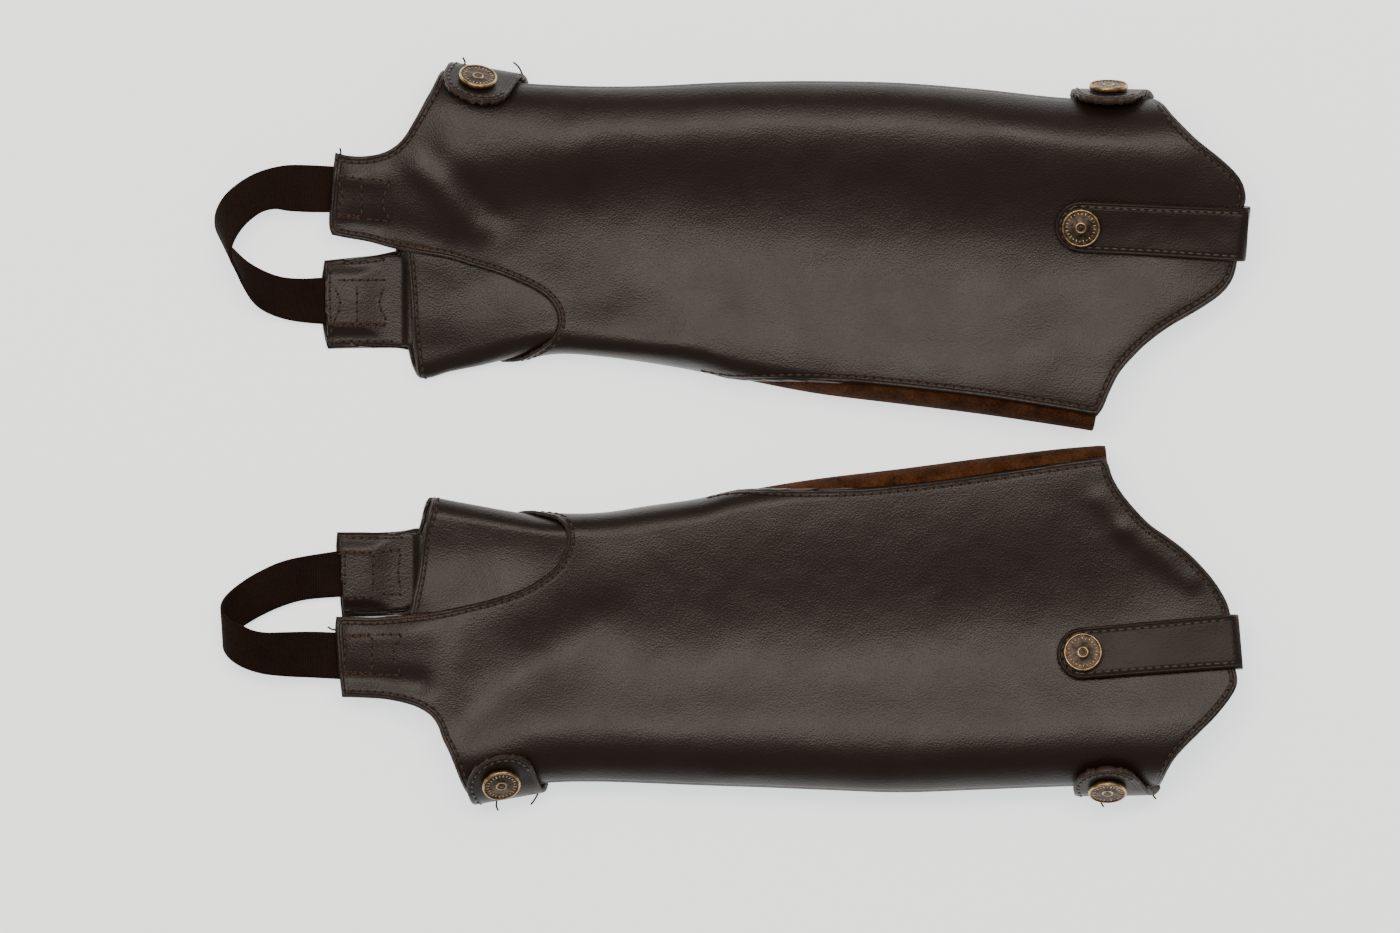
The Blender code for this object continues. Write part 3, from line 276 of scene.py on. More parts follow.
RIGHT = GaiterSizes(
    name="right",
    side=1,
    sections=rows_of(
        Section,
        (-184, 162.0, 25.0, 14.0, 12.2, 9.0), (-152, 163.0, 23.5, 20.0, 17.0, 11.5),
        (-138.5, 164.0, 22.0, 22.0, 18.8, 13.0), (-127.5, 163.0, 25.0, 24.0, 20.3, 13.5),
        (-114, 160.5, 27.7, 25.0, 19.5, 15.5), (-98, 158.2, 31.5, 26.0, 19.8, 17.5),
        (-80, 157.0, 35.0, 27.0, 20.0, 20.0), (-60, 156.4, 34.0, 27.5, 20.5, 21.5),
        (-37.5, 156.6, 31.0, 28.0, 21.0, 23.0), (-15, 157.7, 27.0, 29.0, 21.5, 24.0),
        (-3.5, 158.2, 23.5, 29.5, 21.5, 24.5), (12, 158.6, 20.0, 30.0, 22.0, 25.0),
        (39, 158.8, 15.0, 30.5, 22.5, 25.5), (75, 158.0, 10.5, 31.5, 23.0, 26.5),
        (111, 155.2, 6.0, 32.0, 23.0, 27.0), (147, 151.4, 0.7, 32.0, 23.0, 27.0),
        (170, 150.5, -3.0, 32.0, 23.0, 26.5), (192, 150.8, -6.8, 32.0, 23.5, 26.0),
        (235, 150.8, -12.6, 29.5, 22.5, 24.0),
    ),
    creases=rows_of(
        Crease,
        (-141, 119, -115, 92, 6.5, 1.3), (-134, 124, -108, 98, 7.0, -1.1),
        (-154, 93, -126, 84, 9.0, -1.3), (-126, 121, -74, 122, 14.0, 1.9),
        (-30, 37, 165, 14, 21.0, 2.8), (-98, 60, -60, 57, 10.0, 1.2),
        (-142, 50, -92, 47, 13.0, 1.5), (-78, 59, -37, 47, 14.0, -2.2),
        (168, 34, 206, 60, 8.0, 0.8), (140, 40, 190, 62, 16.0, 1.9),
        (118, 140, 196, 122, 13.0, 0.9), (-172, 115, -160, 115, 6.0, 1.3),
        (-172, 95, -160, 93, 6.0, -1.2),
    ),
    pads=rows_of(
        Pad,
        (-179.2, -166.8, 96.0, 116.0, 0.55, 2.6), (-166.4, -154.6, 95.4, 113.0, 0.35, 2.6),
    ),
    foot_edge=[
        (-130.5, 163.2), (-134.6, 156.6), (-139, 148.5), (-143.6, 140), (-148, 132.8),
        (-152.6, 128.3), (-158, 125.6), (-165.6, 124.2), (-173, 124.4), (-179, 125.8),
    ],
    tab_end=[(-179, 125.8), (-180, 118), (-181.4, 104.4), (-181.8, 93.2), (-180.5, 88.7)],
    scallop=[
        (-180.5, 88.7), (-174.6, 87.5), (-163.4, 85.5), (-152.1, 82.4), (-136.4, 79.4),
        (-118.4, 75), (-104.9, 70.9), (-91.4, 65.3), (-83.3, 60), (-79.4, 54),
        (-79, 48.2), (-81.5, 42.3), (-86.9, 37.4),
    ],
    fold_rim=[(-98, 2.5), (-107, 2.8)],
    front_tip=[(-51, 3.0), (-33, 2.8), (-15, 2.5)],
    front_edge=[
        (3.2, 23), (12.2, 22.6), (30.2, 22.4), (52.7, 21.6), (75.2, 19.8), (97.7, 17.3),
        (120.2, 14.4), (142.7, 10.8), (163.8, 7),
    ],
    knee_edge=[
        (163.8, 7), (166.5, 10.8), (169.7, 18.5), (174.2, 27), (180.9, 34.7), (187.7, 41),
        (196.7, 47.5), (210.2, 55.4), (219.2, 61.7), (224.1, 67.5), (226.4, 73.8),
        (227.2, 80), (228.2, 88), (228.8, 97), (230.5, 103), (230.8, 106),
        (229.5, 111.6), (225.9, 117), (219.2, 123.3), (210.2, 130.5), (203.4, 137),
        (197.6, 143.2), (193.5, 148),
    ],
    inner_foot=[(-129, 152), (-132, 145), (-139, 130), (-145, 112), (-149, 95), (-152, 81.5)],
    inner_front=[(-152, 81.5), (-161, 79.7), (-172.4, 78.5), (-184, 77.3)],
    inner_end=[(-184, 77.3), (-185.4, 66.2), (-185, 50.4), (-183.6, 41.4), (-182.3, 37.4)],
    inner_back=[(-182.3, 37.4), (-172.4, 37.6), (-158.9, 37.8), (-149.9, 37.6), (-146.5, 36.9)],
    inner_knee=[(160, 20), (166, 35), (172, 62), (178, 95), (184, 125)],
    inner_seam=-112,
    cap={
        "hem": [(-147, 89), (-147, 80), (-145.6, 64), (-144.6, 46), (-143.6, 36)],
        "hem_fold": [(-142.3, 2.25), (-141, 2.5), (-142.5, 2.75)],
        "hem_under": [(-146, 36), (-148, 46)],
        "under": [(-148, 46), (-130, 48), (-112, 50), (-96, 50)],
        "back_fold": [(-80, 3.0), (-72, 2.75), (-68, 2.5), (-66, 2.2)],
        "over": [
            (-66, 50), (-69, 59), (-77, 67), (-91, 72.5), (-105, 77.5), (-120, 82), (-147, 89),
        ],
    },
    gusset={
        "tip": [(-14, 2.52), (-5, 2.3)],
        "top": [(8, 30.5), (30, 30), (75, 27.5), (120, 22), (164.5, 14.6)],
        "end_top": [(164.5, 15), (163.6, 7)],
        "end_fold": [(161.8, 2.5)],
    },
    gusset_under=159.5,
    facings={
        "outer": [
            (-178, 123), (-179.6, 105), (-179.4, 91), (-166, 88.5), (-153, 86), (-153, 105),
            (-154, 124.5), (-166, 122),
        ],
        "inner": [
            (-183, 75.8), (-184, 60), (-182, 39), (-166, 39), (-150, 38.4), (-139, 39),
            (-136, 58), (-136, 78), (-152, 79.6), (-168, 77.4),
        ],
    },
    strap=StrapSizes(156.6, 92.7, 232.6, 88.8, 226.6, 229.0),
    tabs={
        "ankle": PopperTabSizes(-112.0, 57.0, 7.0, -3.0, -13.0, 20.0),
        "knee": PopperTabSizes(169.0, 76.0, 0.0, 0.0, -17.5, 20.5),
    },
    band=rows_of(
        Band,
        (-192.6, 120.2, 10.8, -192.6, 99.0, 9.8), (-202.0, 120.0, 12.0, -200.3, 99.5, 12.5),
        (-212.0, 117.5, 11.8, -206.0, 100.4, 14.5), (-220.5, 113.2, 11.0, -212.0, 99.0, 16.0),
        (-228.2, 106.7, 9.5, -217.8, 95.0, 17.0), (-232.2, 99.5, 7.8, -222.3, 90.0, 17.8),
        (-232.6, 92.7, 5.6, -225.4, 84.2, 18.2), (-230.2, 87.3, 4.2, -226.0, 78.3, 18.8),
        (-225.2, 82.4, 3.6, -223.4, 72.9, 18.0), (-219.2, 77.0, 3.2, -220.0, 65.7, 15.5),
        (-212.0, 72.9, 3.1, -215.0, 58.0, 11.5), (-203.9, 70.0, 3.05, -207.9, 53.1, 7.0),
        (-194.9, 69.1, 3.05, -198.0, 50.0, 3.8),
    ),
    band_outer=rows_of(
        SewnEnd,
        (-167.0, 119.3, 98.4), (-173.5, 119.4, 98.5), (-180.0, 119.5, 98.6),
    ),
    band_inner=rows_of(
        SewnEnd,
        (-185.4, 69.5, 48.6), (-178.4, 69.6, 48.7), (-171.5, 69.7, 48.8),
    ),
    zip_span=(-127.0, 188.0),
    outer_rows=[
        Row(Thread.PLAIN, [(-179.1, 115.6), (-166.6, 113.8)]),
        Row(Thread.PLAIN, [(-166.6, 114.0), (-153.9, 112.6)]),
        Row(Thread.PLAIN, [(-178.6, 114.0), (-175.8, 108.0), (-178.4, 97.9)]),
        Row(Thread.PLAIN, [(-167.2, 113.6), (-167.2, 95.6)]),
        Row(Thread.PLAIN, [(-154.2, 112.8), (-157.6, 103.3), (-154.2, 95.0)]),
        Row(Thread.OVERSEWN, [(-179.3, 97.9), (-166.6, 96.4)]),
        Row(Thread.PLAIN, [(-166.6, 96.0), (-153.9, 94.8)]),
        Row(Thread.TACK, [(-153.0, 85.4), (-136.0, 82.2)]),
    ],
    inner_rows=[
        Row(Thread.PLAIN, [(-181.2, 76.0), (-181.4, 60.0), (-180.4, 39.0)]),
        Row(Thread.PLAIN, [(-179.6, 66.0), (-176.8, 58.4), (-179.2, 50.4)]),
        Row(Thread.PLAIN, [(-180.0, 68.4), (-155.5, 68.4)]),
        Row(Thread.OVERSEWN, [(-180.0, 48.6), (-155.5, 48.2)]),
        Row(Thread.PLAIN, [(-169.2, 67.8), (-169.2, 48.8)]),
        Row(Thread.PLAIN, [(-155.8, 67.6), (-159.0, 58.6), (-155.6, 49.4)]),
        Row(Thread.PLAIN, [(-180.0, 75.6), (-168.0, 76.0), (-156.0, 77.6)]),
        Row(Thread.PLAIN, [(-180.0, 40.8), (-166.0, 40.8), (-152.6, 40.8)]),
    ],
    thread_ends=[
        [(-176.6, 124.0, 13.6), (-176.5, 126.2, 14.6), (-176.9, 127.8, 15.0)],
        [(-121.2, 163.4, 9.5), (-120.6, 166.4, 10.5), (-121.6, 168.6, 11.0)],
        [(-94.6, 160.6, 9.0), (-96.4, 164.2, 10.5), (-98.8, 166.4, 11.0)],
    ],
)

LEFT = GaiterSizes(
    name="left",
    side=-1,
    sections=rows_of(
        Section,
        (-184, 164.3, 23.0, 14.0, 12.2, 9.0), (-145, 164.7, 25.0, 20.5, 17.5, 12.0),
        (-135, 164.7, 27.0, 22.0, 18.8, 13.0), (-125, 164.5, 29.0, 23.5, 20.0, 13.5),
        (-114, 163.5, 31.0, 25.0, 19.5, 15.5), (-100, 161.0, 33.5, 26.0, 19.8, 17.5),
        (-82, 158.6, 36.2, 27.0, 20.0, 20.0), (-60, 158.2, 36.2, 27.5, 20.5, 21.5),
        (-37.5, 158.9, 33.0, 28.0, 21.0, 23.0), (-15, 159.8, 29.7, 29.0, 21.5, 24.0),
        (-3.5, 160.2, 26.3, 29.5, 21.5, 24.5), (12, 160.7, 23.0, 30.0, 22.0, 25.0),
        (39, 161.8, 18.7, 30.5, 22.5, 25.5), (75, 163.0, 14.4, 31.5, 23.0, 26.5),
        (111, 161.8, 9.7, 32.0, 23.0, 27.0), (147, 160.4, 5.4, 32.0, 23.0, 27.0),
        (170, 159.8, 3.4, 32.0, 23.0, 26.5), (194, 159.8, 0.5, 32.0, 23.5, 26.0),
        (233, 159.8, -3.6, 29.5, 22.5, 24.0),
    ),
    creases=rows_of(
        Crease,
        (-120, 129, -62, 85, 14.0, -2.1), (-30, 39, 165, 18, 18.0, 0.5),
        (-171, 89, -142, 88, 8.0, 1.5), (-171, 110, -142, 113, 6.5, -1.8),
        (-144, 95, -102, 75, 17.0, 2.2), (-140, 36, -85, 37, 16.0, 2.6),
        (165, 30, 176, 44, 4.5, 0.9), (176, 44, 206, 67, 4.5, 1.0), (158, 36, 196, 72, 11.0, -0.6),
    ),
    pads=rows_of(
        Pad,
        (-175.2, -162.5, 92.0, 109.0, 0.5, 2.6), (-162.2, -149.6, 91.8, 109.2, 0.3, 2.6),
    ),
    foot_edge=[
        (-118.4, 163.8), (-121, 160.7), (-123.8, 154.4), (-126.9, 146.3), (-130.5, 138.6),
        (-132.8, 132.3), (-135.9, 127.8), (-140.9, 124.4), (-147.6, 122), (-156.6, 120.2),
        (-167.9, 119.5), (-176, 119.3),
    ],
    tab_end=[(-176, 119.3), (-176.9, 111.6), (-178.2, 100.4), (-179.1, 89.1), (-178.6, 83)],
    scallop=[
        (-178.6, 83), (-174.6, 83), (-161.1, 83.2), (-147.6, 82.1), (-136.4, 81),
        (-122.9, 78.5), (-109.4, 75.4), (-98.1, 72), (-89.1, 67.7), (-81, 61.7),
        (-76.5, 55.4), (-74.5, 48.6), (-75.6, 42.6), (-79.5, 38.2),
    ],
    fold_rim=[(-90, 2.5), (-99, 2.8)],
    front_tip=[(-51, 3.0), (-33, 2.8), (-13, 2.5)],
    front_edge=[
        (5.4, 25.2), (14, 25), (30.2, 25.2), (52.7, 25), (75.2, 23.4), (97.7, 20.9),
        (120.2, 17.6), (142.7, 14.2), (160.7, 11.7), (167.4, 10.8),
    ],
    knee_edge=[
        (167.4, 10.8), (169.2, 15.3), (171, 20.7), (175, 27.5), (180.9, 34.7), (187.7, 41.6),
        (195.8, 47.3), (203.4, 53.1), (210.2, 59.6), (216.9, 67.5), (221.8, 75.6),
        (223.6, 81), (224.8, 88), (225.6, 97), (225.9, 105), (226.9, 110), (226.4, 115),
        (222.8, 121), (216.5, 128.7), (210.2, 135), (203.9, 141.3), (198.5, 147.6),
        (194.9, 153.9),
    ],
    inner_foot=[(-118, 152), (-121, 143), (-128, 128), (-135, 110), (-141, 92), (-146, 82.6)],
    inner_front=[(-146, 82.6), (-161, 83.2), (-176, 83.4)],
    inner_end=[(-176, 83.4), (-176.6, 77.9), (-177.8, 64.4), (-178.7, 52.2), (-178.2, 45)],
    inner_back=[(-178.2, 45), (-167, 45), (-158.9, 45.1), (-149, 44.4), (-142.5, 43.2)],
    inner_knee=[(163, 23), (170, 40), (176, 66), (182, 98), (187, 130)],
    inner_seam=-104,
    cap={
        "hem": [(-146, 89), (-145.4, 79.5), (-142, 64), (-139.5, 46), (-137.2, 38)],
        "hem_fold": [(-136, 2.25), (-135.4, 2.5), (-137.5, 2.75)],
        "hem_under": [(-141, 42), (-144, 50)],
        "under": [(-144, 50), (-126, 52), (-108, 54), (-92, 54)],
        "back_fold": [(-76, 3.0), (-68, 2.75), (-64, 2.5), (-62, 2.2)],
        "over": [
            (-62, 50), (-65, 60), (-74, 69), (-90, 75), (-106, 80), (-122, 84.5), (-146, 89),
        ],
    },
    gusset={
        "tip": [(-14, 2.52), (-5, 2.3)],
        "top": [(8, 33), (30, 33), (75, 31), (120, 25.4), (169.3, 18.2)],
        "end_top": [(169.3, 18.6), (168.2, 10.5)],
        "end_fold": [(167.2, 2.5)],
    },
    gusset_under=163.0,
    facings={
        "outer": [
            (-175, 117.8), (-176.6, 101), (-177.3, 85), (-163, 85), (-149, 84.4), (-149, 102),
            (-150, 119), (-163, 118),
        ],
        "inner": [
            (-175.5, 81.8), (-176.6, 64), (-177, 46.6), (-162, 46.6), (-146, 45.4), (-134, 46),
            (-130, 60), (-130, 76), (-148, 80.4), (-162, 81.6),
        ],
    },
    strap=StrapSizes(157.5, 99.9, 229.0, 94.0, 223.4, 225.8),
    tabs={
        "ankle": PopperTabSizes(-103.5, 44.0, 3.6, -1.0, -11.0, 20.5),
        "knee": PopperTabSizes(169.0, 61.0, 1.3, -0.5, -14.0, 23.5),
    },
    band=rows_of(
        Band,
        (-190.4, 110.5, 10.4, -190.4, 89.8, 9.6), (-201.6, 110.0, 12.0, -201.6, 90.0, 12.5),
        (-212.0, 108.7, 11.6, -210.2, 90.2, 13.8), (-220.5, 105.8, 10.5, -216.5, 89.1, 15.0),
        (-226.4, 101.7, 8.6, -221.4, 86.9, 15.2), (-229.0, 96.8, 6.2, -226.4, 84.6, 14.2),
        (-227.3, 92.3, 4.4, -230.0, 80.1, 11.6), (-221.0, 87.8, 3.5, -228.6, 74.7, 8.2),
        (-212.9, 83.0, 3.1, -222.8, 68.9, 5.4), (-203.0, 78.5, 3.05, -213.3, 62.8, 3.9),
        (-192.6, 75.6, 3.05, -200.3, 57.4, 3.2),
    ),
    band_outer=rows_of(
        SewnEnd,
        (-166.5, 111.4, 90.5), (-172.5, 111.2, 90.3), (-178.7, 110.9, 90.0),
    ),
    band_inner=rows_of(
        SewnEnd,
        (-178.5, 74.3, 53.6), (-172.5, 74.1, 53.4), (-167.0, 73.9, 53.2),
    ),
    zip_span=(-117.0, 190.0),
    outer_rows=[
        Row(Thread.PLAIN, [(-174.6, 109.4), (-174.8, 91.4)]),
        Row(Thread.OVERSEWN, [(-176.0, 92.0), (-162.6, 91.4)]),
        Row(Thread.PLAIN, [(-162.4, 91.2), (-149.0, 91.0)]),
        Row(Thread.PLAIN, [(-162.5, 109.4), (-162.5, 91.6)]),
        Row(Thread.PLAIN, [(-149.2, 109.6), (-152.6, 100.6), (-149.4, 91.4)]),
        Row(Thread.OVERSEWN, [(-176.0, 108.6), (-161.4, 109.0)]),
        Row(Thread.PLAIN, [(-161.4, 109.4), (-149.0, 109.4)]),
        Row(Thread.TACK, [(-150.3, 83.8), (-135.6, 82.6)]),
    ],
    inner_rows=[
        Row(Thread.PLAIN, [(-174.6, 74.0), (-174.8, 54.4)]),
        Row(Thread.OVERSEWN, [(-178.0, 54.0), (-162.6, 54.6)]),
        Row(Thread.PLAIN, [(-162.4, 54.4), (-149.0, 53.0)]),
        Row(Thread.PLAIN, [(-162.0, 73.6), (-162.0, 54.6)]),
        Row(Thread.PLAIN, [(-149.2, 73.2), (-150.6, 63.4), (-149.4, 53.6)]),
        Row(Thread.PLAIN, [(-174.6, 75.4), (-161.6, 74.4)]),
        Row(Thread.PLAIN, [(-161.4, 73.0), (-149.0, 73.0)]),
        Row(Thread.PLAIN, [(-175.0, 47.6), (-162.0, 48.0), (-148.4, 47.4)]),
    ],
    thread_ends=[
        [(-178.0, 89.2, 11.6), (-180.6, 88.7, 11.8), (-182.4, 87.6, 11.6)],
        [(-106.0, 164.6, 9.5), (-106.5, 168.0, 9.0), (-105.7, 170.2, 8.0)],
        [(-87.6, 162.4, 8.5), (-89.4, 165.6, 8.5), (-91.0, 167.6, 8.0)],
        [(165.2, 163.6, 11.0), (165.6, 166.6, 10.5), (166.8, 168.6, 10.0)],
        [(188.4, 161.2, 10.0), (189.2, 163.6, 10.0), (190.4, 165.2, 10.0)],
    ],
)


@dataclass
class Value:
    """A number that a material works out, written with Python's operators."""

    maker: "ShaderMaker"
    socket: bpy.types.NodeSocket

    def _maths(self, operation: str, *terms: "Term") -> "Value":
        """One Math node."""
        return self.maker.node("ShaderNodeMath", {"operation": operation}, dict(enumerate(terms)))

    def __add__(self, other: "Term") -> "Value":
        """Sum."""
        return self._maths("ADD", self, other)

    def __radd__(self, other: "Term") -> "Value":
        """Sum."""
        return self._maths("ADD", other, self)

    def __sub__(self, other: "Term") -> "Value":
        """Difference."""
        return self._maths("SUBTRACT", self, other)

    def __rsub__(self, other: "Term") -> "Value":
        """Difference from a number."""
        return self._maths("SUBTRACT", other, self)

    def __mul__(self, other: "Term") -> "Value":
        """Product."""
        return self._maths("MULTIPLY", self, other)

    def __rmul__(self, other: "Term") -> "Value":
        """Product."""
        return self._maths("MULTIPLY", other, self)

    def ridges(self, pitch: float) -> "Value":
        """Even ridges of 0 to 1, a pitch apart."""
        turned = self * (2.0 * math.pi / pitch)
        return self._maths("SINE", turned) * 0.5 + 0.5


Term = Union[float, Value]


class ShaderMaker:
    """Makes the nodes of one material."""

    def __init__(self, name: str) -> None:
        """Start a material with a Principled shader.

        Args:
            name: The material's name.
        """
        self.material = bpy.data.materials.new(name)
        self.material.use_nodes = True
        self.tree = self.material.node_tree
        self.shader = self.tree.nodes["Principled BSDF"]

    def node(
        self,
        kind: str,
        settings: Optional[dict[str, Any]] = None,
        inputs: Optional[dict[Any, Any]] = None,
        output: Any = 0,
    ) -> Value:
        """Add a node, set it and link it.

        Args:
            kind: The node's type.
            settings: The node's own properties, with a ramp's stops under "stops".
            inputs: Values, or links, by socket name or number.
            output: The output that the result reads, by name or number.

        Returns:
            The node's output as a Value.
        """
        node = self.tree.nodes.new(kind)
        for key, value in (settings or {}).items():
            if key == "stops":
                self._set_stops(node.color_ramp, value)
            else:
                setattr(node, key, value)
        for key, value in (inputs or {}).items():
            self._feed(node.inputs[key], value)
        return Value(self, node.outputs[output])

    def _set_stops(self, ramp: bpy.types.ColorRamp, stops: Sequence[tuple[float, Any]]) -> None:
        """Put a ramp's stops in place, from grey levels or colours.

        Args:
            ramp: The ramp.
            stops: Each stop's place and colour.
        """
        while len(ramp.elements) < len(stops):
            ramp.elements.new(1.0)
        for element, (place, colour) in zip(ramp.elements, stops):
            element.position = place
            if isinstance(colour, float):
                colour = (colour, colour, colour, 1.0)
            element.color = colour

    def _feed(self, socket: bpy.types.NodeSocket, value: Any) -> None:
        """Link a Value to a socket, or set the socket's number.

        Args:
            socket: The socket.
            value: A Value, a number or a colour.
        """
        if isinstance(value, Value):
            self.tree.links.new(value.socket, socket)
        else:
            socket.default_value = value

    def dress(self, **sockets: Any) -> bpy.types.Material:
        """Set the shader's sockets.

        Args:
            sockets: Values by socket name, with an underscore for each space.

        Returns:
            The finished material.
        """
        for name, value in sockets.items():
            self._feed(self.shader.inputs[name.replace("_", " ")], value)
        return self.material

    def place(self) -> Value:
        """Object coordinates."""
        return self.node("ShaderNodeTexCoord", output="Object")

    def noise(self, scale: float, detail: float = 3.0) -> Value:
        """Noise from 0 to 1.

        Args:
            scale: Its cells to the metre.
            detail: How many finer octaves it has.

        Returns:
            The noise.
        """
        inputs = {"Vector": self.place(), "Scale": scale, "Detail": detail}
        return self.node("ShaderNodeTexNoise", None, inputs)

    def cells(self, scale: float) -> Value:
        """Distance to the middles of a cell pattern on the object's coordinates."""
        inputs = {"Vector": self.place(), "Scale": scale}
        return self.node("ShaderNodeTexVoronoi", None, inputs)

    def ramp(self, value: Value, stops: Sequence[tuple[float, Any]]) -> Value:
        """Grey levels or colours between stops."""
        return self.node("ShaderNodeValToRGB", {"stops": stops}, {0: value})

    def blend(self, share: Any, first: Any, second: Any) -> Value:
        """A colour between two."""
        settings = {"data_type": "RGBA"}
        return self.node("ShaderNodeMix", settings, {0: share, 6: first, 7: second}, output=2)

    def attribute(self, name: str) -> Value:
        """A number stored on the mesh."""
        return self.node("ShaderNodeAttribute", {"attribute_name": name}, output="Fac")

    def bump(self, height: Value, depth: float, normal: Optional[Value] = None) -> Value:
        """A normal from a height of 0 to 1 and its depth in metres, over another normal.

        Args:
            height: The height.
            depth: How deep it is in metres.
            normal: The normal under it, or the surface's own.

        Returns:
            The new normal.
        """
        inputs = {"Distance": depth, "Height": height}
        if normal:
            inputs["Normal"] = normal
        return self.node("ShaderNodeBump", None, inputs)


Colour = tuple[float, float, float, float]
# How far from a cut edge its rim reaches, in millimetres.
RIM_REACH = 8.0


@dataclass(frozen=True)
class LeatherFinish:
    """Smooth dark leather with a fine grain, and a pressed rim where it is cut, painted lighter
    along the rim as a highlight.
    """

    name: str = "dark_leather"
    deep: Colour = (0.0100, 0.0050, 0.0030, 1.0)
    lit: Colour = (0.0145, 0.0080, 0.0052, 1.0)
    # A lighter colour painted along the cut rim as its highlight.
    rim_highlight: Colour = (0.060, 0.040, 0.030, 1.0)
    roughness: float = 0.345
    shine: float = 0.40
    grain: float = 0.00014
    wave: float = 0.0011
    rim: bool = True

    def material(self) -> bpy.types.Material:
        """Make the leather's material.

        Returns:
            The material.
        """
        maker = ShaderMaker(self.name)
        colour = maker.blend(maker.noise(38.0, 4.0), self.deep, self.lit)
        pebble = maker.cells(1150.0) * 0.6 + maker.noise(1900.0) * 0.4
        wave = maker.bump(maker.noise(30.0, 2.0), self.wave)
        if self.rim:
            edge = maker.attribute("rim") * (1.0 / RIM_REACH)
            shape = maker.ramp(
                edge,
                [
                    (0.0, 0.1), (0.07, 0.8), (0.12, 1.0), (0.17, 0.75), (0.21, 0.35), (0.27, 0.6),
                    (0.36, 0.45), (0.46, 0.72), (0.62, 0.78),
                ],
            )
            # Painted highlight: within about 1.4 mm of the cut edge the colour turns towards the
            # lighter rim colour.
            shine = maker.ramp(edge, [(0.0, 1.0), (0.10, 0.55), (0.17, 0.0)])
            colour = maker.blend(shine * 0.7, colour, self.rim_highlight)
            wave = maker.bump(shape, 0.0006, normal=wave)
        normal = maker.bump(pebble, self.grain, normal=wave)
        rough = maker.noise(55.0) * 0.14 + (self.roughness - 0.07) + pebble * 0.05
        return maker.dress(
            Base_Color=colour, Roughness=rough, Normal=normal, Specular_IOR_Level=self.shine,
        )


@dataclass(frozen=True)
class SuedeFinish:
    """Brown suede with a short nap."""

    name: str = "brown_suede"
    deep: Colour = (0.020, 0.0070, 0.0025, 1.0)
    lit: Colour = (0.115, 0.044, 0.016, 1.0)

    def material(self) -> bpy.types.Material:
        """Make the suede's material.

        Returns:
            The material.
        """
        maker = ShaderMaker(self.name)
        nap = maker.noise(900.0, 5.0)
        patch = maker.noise(120.0, 4.0)
        share = maker.ramp(nap * 0.5 + patch * 0.5, [(0.34, 0.0), (0.66, 1.0)])
        colour = maker.blend(share, self.deep, self.lit)
        normal = maker.bump(nap, 0.0005)
        return maker.dress(
            Base_Color=colour, Roughness=0.96, Normal=normal, Sheen_Weight=0.03,
            Sheen_Roughness=0.5, Specular_IOR_Level=0.06,
        )


@dataclass(frozen=True)
class WebbingFinish:
    """Woven elastic or tape, ribbed across, with painted shade in the grooves between its ribs."""

    name: str
    deep: Colour
    lit: Colour
    rib: float
    cord: float

    def material(self) -> bpy.types.Material:
        """Make the webbing's material, in the piece's own map of millimetres.

        Returns:
            The material.
        """
        maker = ShaderMaker(self.name)
        flat = maker.node("ShaderNodeUVMap", {"uv_map": "cut"})
        split = maker.node("ShaderNodeSeparateXYZ", None, {0: flat}).socket.node
        along, across = (Value(maker, split.outputs[axis]) for axis in "XY")
        height = along.ridges(self.rib) * 0.65 + across.ridges(self.cord) * 0.35
        fleck = maker.noise(700.0)
        patch = maker.noise(45.0, 2.0)
        # Partly painted shade: the colour darkens where the rib height is low, in the grooves
        # between ribs. The flecks and patches are the webbing's own mottled tone.
        share = height * 0.5 + fleck * 0.6 + patch * 0.7 - 0.4
        colour = maker.blend(share, self.deep, self.lit)
        normal = maker.bump(height, 0.00022)
        return maker.dress(
            Base_Color=colour, Roughness=0.88, Normal=normal, Specular_IOR_Level=0.12,
        )


@dataclass(frozen=True)
class ThreadFinish:
    """Sewing thread, twisted."""

    name: str
    deep: Colour
    lit: Colour
    roughness: float = 0.7

    def material(self) -> bpy.types.Material:
        """Make the thread's material.

        Returns:
            The material.
        """
        maker = ShaderMaker(self.name)
        twist = maker.noise(1500.0, 2.0)
        colour = maker.blend(twist, self.deep, self.lit)
        return maker.dress(
            Base_Color=colour, Roughness=self.roughness, Normal=maker.bump(twist, 0.0001),
        )


@dataclass(frozen=True)
class BrassFinish:
    """Antiqued brass, dark in its hollows or rubbed bright."""

    name: str
    deep: Colour
    lit: Colour
    roughness: float

    def material(self) -> bpy.types.Material:
        """Make the brass.

        Returns:
            The material.
        """
        maker = ShaderMaker(self.name)
        tarnish = maker.noise(480.0, 4.0)
        share = maker.ramp(tarnish, [(0.35, 0.0), (0.62, 1.0)])
        colour = maker.blend(share, self.deep, self.lit)
        rough = tarnish * 0.2 + (self.roughness - 0.1)
        normal = maker.bump(maker.noise(1400.0), 0.00005)
        return maker.dress(Base_Color=colour, Metallic=1.0, Roughness=rough, Normal=normal)


